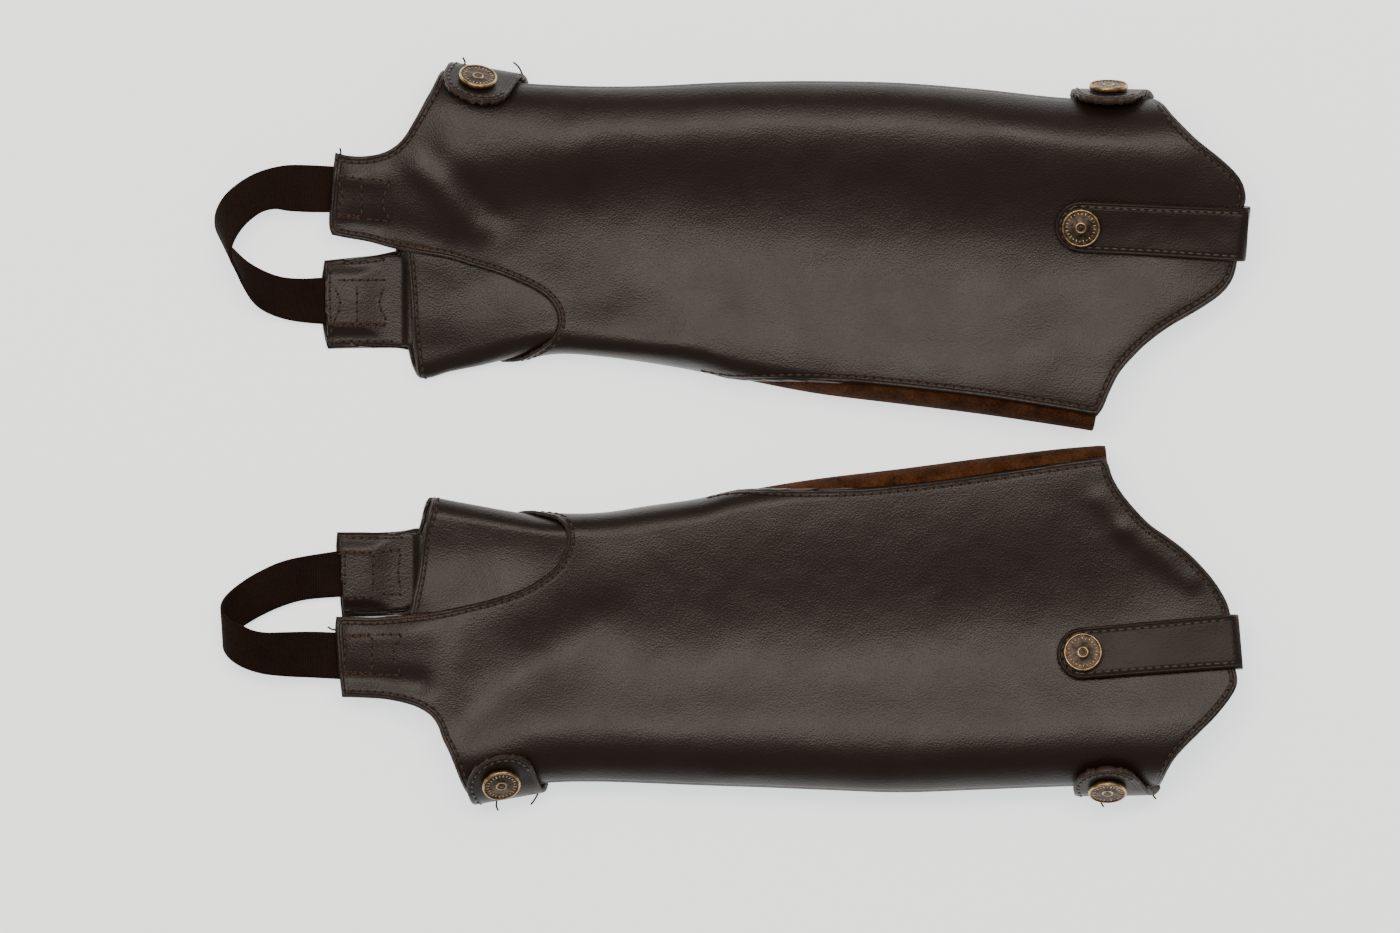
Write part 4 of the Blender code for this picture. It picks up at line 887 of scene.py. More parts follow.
class Finish(Enum):
    """Every finish of the pair, with the material slot that it belongs to."""

    LEATHER = ("leather", LeatherFinish())
    PLAIN_LEATHER = ("leather", LeatherFinish(name="plain_leather", rim=False))
    MATT_LEATHER = (
        "leather", LeatherFinish(name="matt_leather", roughness=0.42, shine=0.30, wave=0.0022),
    )
    SUEDE = ("suede", SuedeFinish())
    ELASTIC = (
        "elastic",
        WebbingFinish(
            "ribbed_elastic", (0.004, 0.0022, 0.0015, 1), (0.027, 0.0130, 0.0085, 1), 1.1, 0.9,
        ),
    )
    TAPE = (
        "tape",
        WebbingFinish("zip_tape", (0.010, 0.008, 0.007, 1), (0.030, 0.023, 0.019, 1), 0.8, 0.7),
    )
    THREAD = (
        "leather",
        ThreadFinish("sewing_thread", (0.018, 0.007, 0.0035, 1), (0.080, 0.037, 0.020, 1)),
    )
    # Stitch beads painted pale and glossy. The thread is real, and its pale colour is a painted
    # highlight of the leather's puckers between the needle holes.
    DARK_THREAD = (
        "leather",
        ThreadFinish("thread_with_painted_highlight", (0.022, 0.013, 0.009, 1), (0.085, 0.060, 0.045, 1), 0.4),
    )
    # Nearly black: painted shade standing in for the needle holes, and the own colour of the loose
    # thread ends.
    HOLE = (
        "leather",
        ThreadFinish("needle_hole_shade_and_thread_ends", (0.004, 0.003, 0.002, 1), (0.010, 0.007, 0.005, 1), 0.9),
    )
    TEETH = (
        "tape",
        ThreadFinish("zip_coil", (0.014, 0.011, 0.009, 1), (0.040, 0.032, 0.026, 1), 0.4),
    )
    BRASS_RIM = (
        "brass",
        BrassFinish("rubbed_brass", (0.24, 0.155, 0.070, 1), (0.50, 0.36, 0.19, 1), 0.36),
    )
    BRASS_FACE = (
        "brass",
        BrassFinish("antique_brass", (0.040, 0.031, 0.026, 1), (0.115, 0.090, 0.072, 1), 0.5),
    )

    def material(self) -> bpy.types.Material:
        """The finish's material, made once."""
        kind = self.value[1]
        return bpy.data.materials.get(kind.name) or kind.material()

    @property
    def slot(self) -> str:
        """The material slot that the finish belongs to."""
        return self.value[0]


def smooth_table(xs: np.ndarray, ys: np.ndarray, x: Number) -> np.ndarray:
    """Values at x of the smooth curve through a table's points.

    Args:
        xs: The table's places, rising.
        ys: The table's values.
        x: Where to read it.

    Returns:
        One value for each x.
    """
    x = np.clip(np.asarray(x, float), xs[0], xs[-1])
    i = np.clip(np.searchsorted(xs, x) - 1, 0, len(xs) - 2)
    rows = np.arange(len(xs))
    before, after = np.maximum(rows - 1, 0), np.minimum(rows + 1, len(xs) - 1)
    slopes = (ys[after] - ys[before]) / (xs[after] - xs[before])
    span = xs[i + 1] - xs[i]
    t = (x - xs[i]) / span
    return (
        (2 * t**3 - 3 * t**2 + 1) * ys[i]
        + (t**3 - 2 * t**2 + t) * span * slopes[i]
        + (3 * t**2 - 2 * t**3) * ys[i + 1]
        + (t**3 - t**2) * span * slopes[i + 1]
    )


def smoothstep(t: Number) -> np.ndarray:
    """0 to 1 with level ends."""
    t = np.clip(t, 0.0, 1.0)
    return t * t * (3 - 2 * t)


def curve_through(points: Sequence[Sequence[float]], step: float) -> list[Vector]:
    """Points about a step apart on the smooth curve through a run, but for its last point.

    Args:
        points: The run.
        step: The spacing wanted.

    Returns:
        The points.
    """
    run = [Vector(p) for p in points]
    ends = [2 * run[0] - run[1]] + run + [2 * run[-1] - run[-2]]
    made = []
    for a, b, c, d in zip(ends, ends[1:], ends[2:], ends[3:]):
        count = max(1, round((c - b).length / step))
        for k in range(count):
            t = k / count
            bend = (2 * a - 5 * b + 4 * c - d) * t**2 + (3 * b - a - 3 * c + d) * t**3
            made.append(b + ((c - a) * t + bend) / 2)
    return made


def reaches_of(points: np.ndarray) -> np.ndarray:
    """Distance along a run at each of its points."""
    return np.concatenate([[0.0], np.cumsum(np.linalg.norm(np.diff(points, axis=0), axis=1))])


def resample(points: Sequence[Sequence[float]], step: float) -> np.ndarray:
    """Points one step apart along a smooth run, centred on it.

    Args:
        points: The run.
        step: The spacing.

    Returns:
        The points, one a row.
    """
    fine = np.array([tuple(p) for p in curve_through(points, 0.4)] + [tuple(points[-1])], float)
    reaches = reaches_of(fine)
    count = max(1, int(reaches[-1] / step))
    start = (reaches[-1] - (count - 1) * step) / 2
    places = start + step * np.arange(count)
    return np.stack([np.interp(places, reaches, column) for column in fine.T], axis=1)


def offset_run(points: Sequence[Pair], distance: float) -> Run:
    """A run moved sideways, to the left of its way where the distance is above 0.

    Args:
        points: The run.
        distance: How far it moves.

    Returns:
        The moved run.
    """
    run = np.array(points, float)
    way = np.gradient(run, axis=0)
    way /= np.linalg.norm(way, axis=1)[:, None]
    moved = run + np.stack([-way[:, 1], way[:, 0]], axis=1) * distance
    return [tuple(p) for p in moved]


class LegForm:
    """The leather's outer face of one gaiter."""

    def __init__(self, sizes: GaiterSizes) -> None:
        """Keep the tables.

        Args:
            sizes: The gaiter's sizes.
        """
        self.side = sizes.side
        self.creases = sizes.creases
        self.pads = sizes.pads
        self.columns = np.array(sizes.sections, float).T

    def section(self, x: Number) -> list[np.ndarray]:
        """zip_u, front_u, zip_h, mid_h and front_h at x."""
        return [smooth_table(self.columns[0], ys, x) for ys in self.columns[1:]]

    def crease_height(self, x: np.ndarray, u: np.ndarray) -> np.ndarray:
        """How far the creases lift the top.

        Args:
            x: Places along the leg.
            u: Places across it.

        Returns:
            The heights.
        """
        height = np.zeros_like(u)
        for crease in self.creases:
            dx, du = crease.x1 - crease.x0, crease.u1 - crease.u0
            t = np.clip(((x - crease.x0) * dx + (u - crease.u0) * du) / (dx * dx + du * du), 0, 1)
            away = np.hypot(x - crease.x0 - t * dx, u - crease.u0 - t * du)
            height += crease.height * np.exp(-((away / crease.half_width) ** 2))
        return height

    def pad_height(self, x: np.ndarray, u: np.ndarray) -> np.ndarray:
        """How far the pads lift the top.

        Args:
            x: Places along the leg.
            u: Places across it.

        Returns:
            The heights.
        """
        height = np.zeros_like(u)
        for pad in self.pads:
            inside = np.minimum.reduce([x - pad.x0, pad.x1 - x, u - pad.u0, pad.u1 - u])
            height += pad.height * smoothstep(inside / pad.slope + 0.5)
        return height

    def loop(self, x: np.ndarray, q: np.ndarray) -> tuple[np.ndarray, np.ndarray]:
        """u and z of the leather's outer face.

        Args:
            x: Places along the leg.
            q: Places round the section.

        Returns:
            u and z.
        """
        zip_u, front_u, zip_h, mid_h, front_h = self.section(x)
        q = np.where(q > 4, q - 5, q)
        low_zip = ROLLS.zip_low * zip_h
        low_front = ROLLS.fold_low * front_h
        zip_angle = q * math.pi / 2
        fold_angle = (2.5 - q) * math.pi
        t = np.clip(q - 1, 0, 1)
        top_u = (zip_u - ROLLS.zip_out) * (1 - t) + (front_u + ROLLS.fold_out) * t
        fall = zip_h - front_h
        peak = ROLLS.dip_at**2 * (1 - ROLLS.dip_at) ** 3
        dip = mid_h - zip_h + fall * smoothstep(ROLLS.dip_at)
        top_z = zip_h - fall * smoothstep(t) + dip * t**2 * (1 - t) ** 3 / peak
        flat_t = q - 3
        flat_u = (front_u + ROLLS.fold_under) * (1 - flat_t) + (zip_u - ROLLS.zip_under) * flat_t
        where = [q <= 0, q <= 1, q <= 2, q <= 2.5, q <= 3]
        u = np.select(
            where,
            [
                zip_u - ROLLS.zip_under * (1 - np.cos(zip_angle)),
                zip_u - ROLLS.zip_out * (1 - np.cos(zip_angle)),
                top_u,
                front_u + ROLLS.fold_out * (1 - np.cos(fold_angle)),
                front_u + ROLLS.fold_under * (1 - np.cos(fold_angle)),
            ],
            flat_u,
        )
        z = np.select(
            where,
            [
                low_zip * (1 + np.sin(zip_angle)),
                low_zip + (zip_h - low_zip) * np.sin(zip_angle),
                top_z,
                low_front + (front_h - low_front) * np.sin(fold_angle),
                low_front * (1 + np.sin(fold_angle)),
            ],
            0.0,
        )
        low, high = ROLLS.lift_from, ROLLS.lift_to
        share = np.where(
            q < 1, smoothstep((q - low) / (1 - low)), smoothstep((high - q) / ROLLS.lift_fade),
        )
        lift = self.crease_height(x, u) + self.pad_height(x, u)
        return u, z + share * np.where((q > low) & (q < high), lift, 0.0)

    def over(self, x: float, u: float) -> float:
        """q of the point of the upper face that lies at u.

        Args:
            x: Places along the leg.
            u: Places across it.

        Returns:
            The place round the section.
        """
        zip_u, front_u = (float(v) for v in self.section(x)[:2])
        if u > zip_u - ROLLS.zip_out:
            return math.acos(min((u - zip_u + ROLLS.zip_out) / ROLLS.zip_out, 1.0)) * 2 / math.pi
        if u < front_u + ROLLS.fold_out:
            turn = math.acos(min((front_u + ROLLS.fold_out - u) / ROLLS.fold_out, 1.0))
            return 2.5 - turn / math.pi
        return 1 + (zip_u - ROLLS.zip_out - u) / (zip_u - ROLLS.zip_out - front_u - ROLLS.fold_out)

    def under(self, x: float, u: float) -> float:
        """q of the point of the flat underside, or of the lower zip roll, that lies at u.

        Args:
            x: Places along the leg.
            u: Places across it.

        Returns:
            The place round the section.
        """
        zip_u, front_u = (float(v) for v in self.section(x)[:2])
        start, end = front_u + ROLLS.fold_under, zip_u - ROLLS.zip_under
        if u > end:
            return 5 - math.acos(min((u - end) / ROLLS.zip_under, 1.0)) * 2 / math.pi
        return 3 + max(u - start, 0.0) / (end - start)

    def seam(self, x: float, inwards: float) -> float:
        """q of the seam under the front fold."""
        front_u = float(self.section(x)[1])
        return self.under(x, front_u + ROLLS.fold_under + ROLLS.seam_in + inwards)

    def face(self, x: Number, q: Number, w: Number = 0.0) -> np.ndarray:
        """Places in metres, w outwards from the leather's outer face.

        Args:
            x: Places along the leg.
            q: Places round the section.
            w: Distances outwards.

        Returns:
            One place a row.
        """
        x, q = np.broadcast_arrays(np.asarray(x, float), np.asarray(q, float))
        u, z = self.loop(x, q)
        out_u, out_z = self.outwards(x, q)
        return self.place(x, u + w * out_u, z + w * out_z)

    def outwards(self, x: np.ndarray, q: np.ndarray) -> tuple[np.ndarray, np.ndarray]:
        """Direction out of the section, as u and z.

        Args:
            x: Places along the leg.
            q: Places round the section.

        Returns:
            Both parts of it.
        """
        u0, z0 = self.loop(x, q - Q_STEP)
        u1, z1 = self.loop(x, q + Q_STEP)
        length = np.hypot(u1 - u0, z1 - z0)
        return (z1 - z0) / length, (u0 - u1) / length

    def place(self, x: Number, u: Number, z: Number) -> np.ndarray:
        """Table millimetres to metres."""
        x, u, z = np.broadcast_arrays(x, u, z)
        return np.stack([x - CENTRE[0], self.side * u - CENTRE[1], z], axis=-1) * MM

    def on_top(self, points: Sequence[Pair]) -> Run:
        """A run of x and u on the top as places on the flat cut."""
        return [(x, flat_of(self.over(x, u))) for x, u in points]

    def beneath(self, points: Sequence[Pair]) -> Run:
        """A run of x and u on the underside as places on the flat cut."""
        return [(x, flat_of(self.under(x, u))) for x, u in points]

    def round(self, points: Sequence[Pair]) -> Run:
        """A run of x and q as places on the flat cut."""
        return [(x, flat_of(q)) for x, q in points]

    def seam_run(self, x0: float, x1: float, inwards: float) -> Run:
        """The seam under the front fold between two places, on the flat cut."""
        return [(x, flat_of(self.seam(x, inwards))) for x in np.linspace(x0, x1, 9)]


def flat_of(q: float) -> float:
    """Distance round the flat cut of a place round the section."""
    whole = int(min(max(math.floor(q), 0), 4))
    return sum(FLAT_SPAN[:whole]) + (q - whole) * FLAT_SPAN[whole]


def round_of(flat: np.ndarray) -> np.ndarray:
    """Place round the section of a distance round the flat cut.

    Args:
        flat: The distances.

    Returns:
        The places.
    """
    ends = np.concatenate([[0.0], np.cumsum(FLAT_SPAN)])
    whole = np.clip(np.searchsorted(ends, flat, side="right") - 1, 0, len(FLAT_SPAN) - 1)
    return whole + (flat - ends[whole]) / np.array(FLAT_SPAN)[whole]


class Lay:
    """How a flat cut, with its places a and b in millimetres, lies in the finished piece."""

    def spots(self, a: np.ndarray, b: np.ndarray, w: Number) -> np.ndarray:
        """Places in metres of a and b, w out of the cut's right side."""
        raise NotImplementedError

    def normals(self, a: np.ndarray, b: np.ndarray) -> np.ndarray:
        """Unit vectors out of the cut's right side."""
        out = self.spots(a, b, 0.5) - self.spots(a, b, 0.0)
        return out / np.linalg.norm(out, axis=1)[:, None]


@dataclass
class PanelLay(Lay):
    """A panel round the leg's form, at a depth under the leather's outer face."""

    form: LegForm
    depth: float = 0.0
    relief: Optional[Relief] = None
    flip: int = 1

    def spots(self, a: np.ndarray, b: np.ndarray, w: Number) -> np.ndarray:
        """Places of x and the distance round the flat cut.

        Args:
            a: Places along it.
            b: Places across it.
            w: Distances out of its right side.

        Returns:
            One place a row.
        """
        q = round_of(b)
        extra = self.relief(a, q) if self.relief else 0.0
        return self.form.face(a, q, self.depth + extra + self.flip * np.asarray(w))


@dataclass
class StrapLay(Lay):
    """The knee strap: a along it from its popper, b across it."""

    form: LegForm
    sizes: StrapSizes

    def __post_init__(self) -> None:
        """Work out its direction and where it turns."""
        s = self.sizes
        self.reach = math.hypot(s.end_x - s.x, s.end_u - s.u)
        self.way = ((s.end_x - s.x) / self.reach, (s.end_u - s.u) / self.reach)
        self.bend = (WALLS.gap + WALLS.leather + WALLS.lap) / 2
        self.over = np.vectorize(self.form.over)

    def rim_x(self, u: np.ndarray) -> np.ndarray:
        """Where the panel's rim lies under the strap.

        Args:
            u: Places across the leg.

        Returns:
            The rim's places along it.
        """
        s = self.sizes
        t = (u - s.end_u) / (2 * s.half) + 0.5
        return s.rim_x_low * (1 - t) + s.rim_x_high * t + WALLS.gap

    def spots(self, a: np.ndarray, b: np.ndarray, w: Number) -> np.ndarray:
        """Over the top, round the rim and into the leg, w above the strap's upper face.

        Args:
            a: Places along it.
            b: Places across it.
            w: Distances out of its right side.

        Returns:
            One place a row.
        """
        s = self.sizes
        x = s.x + self.way[0] * a - self.way[1] * b
        u = s.u + self.way[1] * a + self.way[0] * b
        rim = self.rim_x(u)
        past = x - rim
        turned = math.pi * self.bend
        angle = np.clip(past / self.bend, 0.0, math.pi)
        back = np.maximum(past - turned, 0.0)
        on_x = np.minimum(x, rim) - back
        out = WALLS.strap + np.asarray(w) + self.bend
        level = WALLS.gap - self.bend + out * np.cos(angle)
        q = self.over(on_x, u)
        spot = self.form.face(on_x, q, level)
        spot[:, 0] += out * np.sin(angle) * MM
        return spot


@dataclass
class TabLay(Lay):
    """A popper tab: a along the leg from its middle, b up the tab from its base.

    It lies a clearance off the roll. Its slopes are felt at feel up the tab and near along the leg.
    """

    form: LegForm
    sizes: PopperTabSizes
    clearance: float = 0.8
    base: float = -0.44
    feel: float = 0.6
    near: float = 8.0

    def __post_init__(self) -> None:
        """Follow the zip roll up to where the tab's flat head leaves it."""
        x = self.sizes.x
        want = math.radians(self.sizes.tilt)
        qs = np.arange(1.0, 0.0, -0.005)
        tilts = np.arctan2(*self.form.outwards(np.full_like(qs, x), qs))
        qs = np.linspace(self.base, qs[np.argmax(tilts >= want)], 24)
        xs = np.full_like(qs, x)
        outs = np.stack(self.form.outwards(xs, qs), axis=1)
        self.path = np.stack(self.form.loop(xs, qs), axis=1) + outs * self.clearance
        self.reaches = reaches_of(self.path)
        self.way = (-math.cos(want), math.sin(want))
        self.head_b = self.reaches[-1] + self.sizes.reach
        zips = [float(self.form.section(x + d)[0]) for d in (-self.near, self.near)]
        self.slope = (zips[1] - zips[0]) / (2 * self.near)

    def spots(self, a: np.ndarray, b: np.ndarray, w: Number) -> np.ndarray:
        """Places up the tab, w out of its outer face.

        Args:
            a: Places along it.
            b: Places across it.
            w: Distances out of its right side.

        Returns:
            One place a row.
        """
        b = np.asarray(b, float)
        on = np.minimum(b, self.reaches[-1])
        past = np.maximum(b - self.reaches[-1], 0.0)
        u, z = self._along(on)
        (u0, z0), (u1, z1) = self._along(on - self.feel), self._along(on + self.feel)
        du = np.where(past > 0, self.way[0], u1 - u0)
        dz = np.where(past > 0, self.way[1], z1 - z0)
        length = np.hypot(du, dz)
        out = WALLS.tab + np.asarray(w)
        u = u + self.way[0] * past + out * dz / length
        z = z + self.way[1] * past - out * du / length
        return self.form.place(self.sizes.x + a, u + self.slope * a, z)

    def _along(self, on: np.ndarray) -> tuple[np.ndarray, np.ndarray]:
        """u and z at distances along the roll."""
        return tuple(np.interp(on, self.reaches, line) for line in self.path.T)


@dataclass
class Sheet:
    """A cut piece of leather or cloth, laid in its place and given its wall.

    It is sliced into cells, with shorter ones below the place fine_below, and its edge is
    chamfered. The rim attribute holds each point's distance from the cut edge in millimetres.
    """

    name: str
    lay: Lay
    outline: list[Vector]
    wall: float
    finish: Finish
    cell: Pair = (2.4, 1.7)
    fine_below: Optional[float] = None
    chamfer: float = 0.35

    def build(self) -> bpy.types.Object:
        """Cut the sheet, slice it finely, lay it and thicken it.

        Returns:
            The finished object.
        """
        bm = bmesh.new()
        face = bm.faces.new([bm.verts.new((p.x, p.y, 0.0)) for p in self.outline])
        bmesh.ops.inset_region(
            bm, faces=[face], thickness=self.chamfer, use_even_offset=True, use_boundary=True,
        )
        for axis in (0, 1):
            self._slice(bm, bm.faces[:], axis, list(self._cuts(axis)))
        bmesh.ops.dissolve_degenerate(bm, dist=0.02, edges=bm.edges)
        rim = bm.verts.layers.float.new("rim")
        uv = bm.loops.layers.uv.new("cut")
        for f in bm.faces:
            for loop in f.loops:
                loop[uv].uv = (loop.vert.co.x, loop.vert.co.y)
        flat = np.array([v.co[:2] for v in bm.verts])
        distance = self._rim_distance(flat)
        drop = np.where(distance < self.chamfer * 0.5, -self.chamfer, 0.0)
        places = self.lay.spots(flat[:, 0], flat[:, 1], drop)
        for vert, spot, away in zip(bm.verts, places, distance):
            vert.co = spot
            vert[rim] = away
        self._face_outwards(bm, flat)
        self.area = sum(f.calc_area() for f in bm.faces)
        self.span = tuple((flat.max(0) - flat.min(0)) * MM)
        thing = make_object(self.name, bm, [self.finish])
        add_wall(thing, self.wall)
        return thing

    def _cuts(self, axis: int) -> np.ndarray:
        """Where the sheet is sliced along one way.

        Args:
            axis: 0 for cuts along the length, 1 across it.

        Returns:
            The cuts' places.
        """
        values = [p[axis] for p in self.outline]
        low, high = min(values), max(values)
        if axis == 0 and self.fine_below is not None and low < self.fine_below < high:
            near = np.arange(low + self.cell[1], self.fine_below, self.cell[1])
            return np.concatenate([near, np.arange(self.fine_below, high, self.cell[0])])
        return np.arange(low + self.cell[axis] * 0.5, high, self.cell[axis])

    def _slice(
        self, bm: bmesh.types.BMesh, faces: list[bmesh.types.BMFace], axis: int, cuts: list[float],
    ) -> None:
        """Cut faces by planes across an axis, the middle one first and then each half.

        Args:
            bm: The mesh.
            faces: Its faces.
            axis: 0 or 1.
            cuts: The cuts' places.
        """
        if not cuts or not faces:
            return
        half = len(cuts) // 2
        way = Vector((1 - axis, axis, 0))
        edges = list({e for f in faces for e in f.edges})
        verts = list({v for f in faces for v in f.verts})
        made = bmesh.ops.bisect_plane(
            bm, geom=verts + edges + faces, dist=0.05, plane_co=way * float(cuts[half]),
            plane_no=way,
        )
        parts = [g for g in made["geom"] if isinstance(g, bmesh.types.BMFace)]
        sides: list[list[bmesh.types.BMFace]] = [[], []]
        for face in parts:
            sides[face.calc_center_bounds()[axis] > cuts[half]].append(face)
        self._slice(bm, sides[0], axis, cuts[:half])
        self._slice(bm, sides[1], axis, cuts[half + 1:])

    def _rim_distance(self, flat: np.ndarray) -> np.ndarray:
        """Distance of each flat point from the cut edge.

        Args:
            flat: The points.

        Returns:
            One distance a point.
        """
        a = np.array([tuple(p) for p in self.outline])
        b = np.roll(a, -1, axis=0)
        edge = b - a
        length = np.maximum((edge**2).sum(1), 1e-9)
        nearest = np.full(len(flat), np.inf)
        for start in range(0, len(flat), AT_ONCE):
            part = flat[start:start + AT_ONCE, None, :]
            t = np.clip(((part - a) * edge).sum(2) / length, 0, 1)
            gap = part - a - t[:, :, None] * edge
            nearest[start:start + AT_ONCE] = np.sqrt((gap**2).sum(2)).min(1)
        return nearest

    def _face_outwards(self, bm: bmesh.types.BMesh, flat: np.ndarray) -> None:
        """Turn the faces so that they look out of the cut's right side.

        Args:
            bm: The laid mesh.
            flat: Its points on the flat cut.
        """
        bm.normal_update()
        bm.verts.index_update()
        votes = 0.0
        for face in list(bm.faces)[:: max(1, len(bm.faces) // 40)]:
            index = face.verts[0].index
            a, b = flat[index:index + 1, 0], flat[index:index + 1, 1]
            votes += Vector(self.lay.normals(a, b)[0]).dot(face.normal)
        if votes < 0:
            bmesh.ops.reverse_faces(bm, faces=bm.faces)


def add_wall(
    thing: bpy.types.Object, wall: float, offset: float = -1.0, even: bool = True,
) -> None:
    """Thicken an open sheet.

    Args:
        thing: The sheet.
        wall: Its thickness in millimetres.
        offset: -1 for a wall under its faces, 0 for one on both sides.
        even: Whether the wall keeps its thickness round bends.
    """
    solidify = thing.modifiers.new("wall", "SOLIDIFY")
    solidify.thickness = wall * MM
    solidify.offset = offset
    solidify.use_even_offset = even
    solidify.use_quality_normals = even


def make_object(name: str, bm: bmesh.types.BMesh, finishes: Sequence[Finish]) -> bpy.types.Object:
    """Turn a bmesh into an object at the origin, shaded smooth, with its finishes.

    Args:
        name: The object's name.
        bm: Its mesh, which is freed.
        finishes: Its materials, in the order of the faces' material numbers.

    Returns:
        The object.
    """
    mesh = bpy.data.meshes.new(name)
    bm.to_mesh(mesh)
    bm.free()
    for finish in finishes:
        mesh.materials.append(finish.material())
    mesh.shade_smooth()
    mesh.set_sharp_from_angle(angle=math.radians(SHARP_DEGREES))
    thing = bpy.data.objects.new(name, mesh)
    bpy.context.scene.collection.objects.link(thing)
    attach(thing, BODY)
    return thing


class Batches:
    """Many small bodies for one mesh, kept a few at a time because operators slow with its size."""

    SIZE = 16

    def __init__(self) -> None:
        """Start empty."""
        self.bm = bmesh.new()
        self.kept: list[bpy.types.Mesh] = []
        self.count = 0

    def next(self) -> bmesh.types.BMesh:
        """The bmesh for the next body.

        Returns:
            The bmesh.
        """
        if self.count and self.count % self.SIZE == 0:
            self._keep()
        self.count += 1
        return self.bm

    def _keep(self) -> None:
        """Put the bodies so far aside."""
        mesh = bpy.data.meshes.new("batch")
        self.bm.to_mesh(mesh)
        self.bm.clear()
        self.kept.append(mesh)

    def joined(self) -> bmesh.types.BMesh:
        """Every body in one bmesh.

        Returns:
            The bmesh.
        """
        for mesh in self.kept:
            self.bm.from_mesh(mesh)
            bpy.data.meshes.remove(mesh)
        return self.bm


def turned(way: Sequence[float], out: Sequence[float]) -> Matrix:
    """The turn that lays x along a way and z towards out.

    Args:
        way: Where x points.
        out: Where z points, roughly.

    Returns:
        The turn.
    """
    x = Vector(way).normalized()
    y = Vector(out).cross(x).normalized()
    return Matrix((x, y, x.cross(y))).transposed().to_4x4()


def sized(length: float, width: float, height: float) -> Matrix:
    """The scale that gives a unit shape its sizes in millimetres."""
    return Matrix.Diagonal((length * MM, width * MM, height * MM, 1.0))


def faces_at(verts: Sequence[bmesh.types.BMVert]) -> set[bmesh.types.BMFace]:
    """The faces round some points."""
    return {face for vert in verts for face in vert.link_faces}


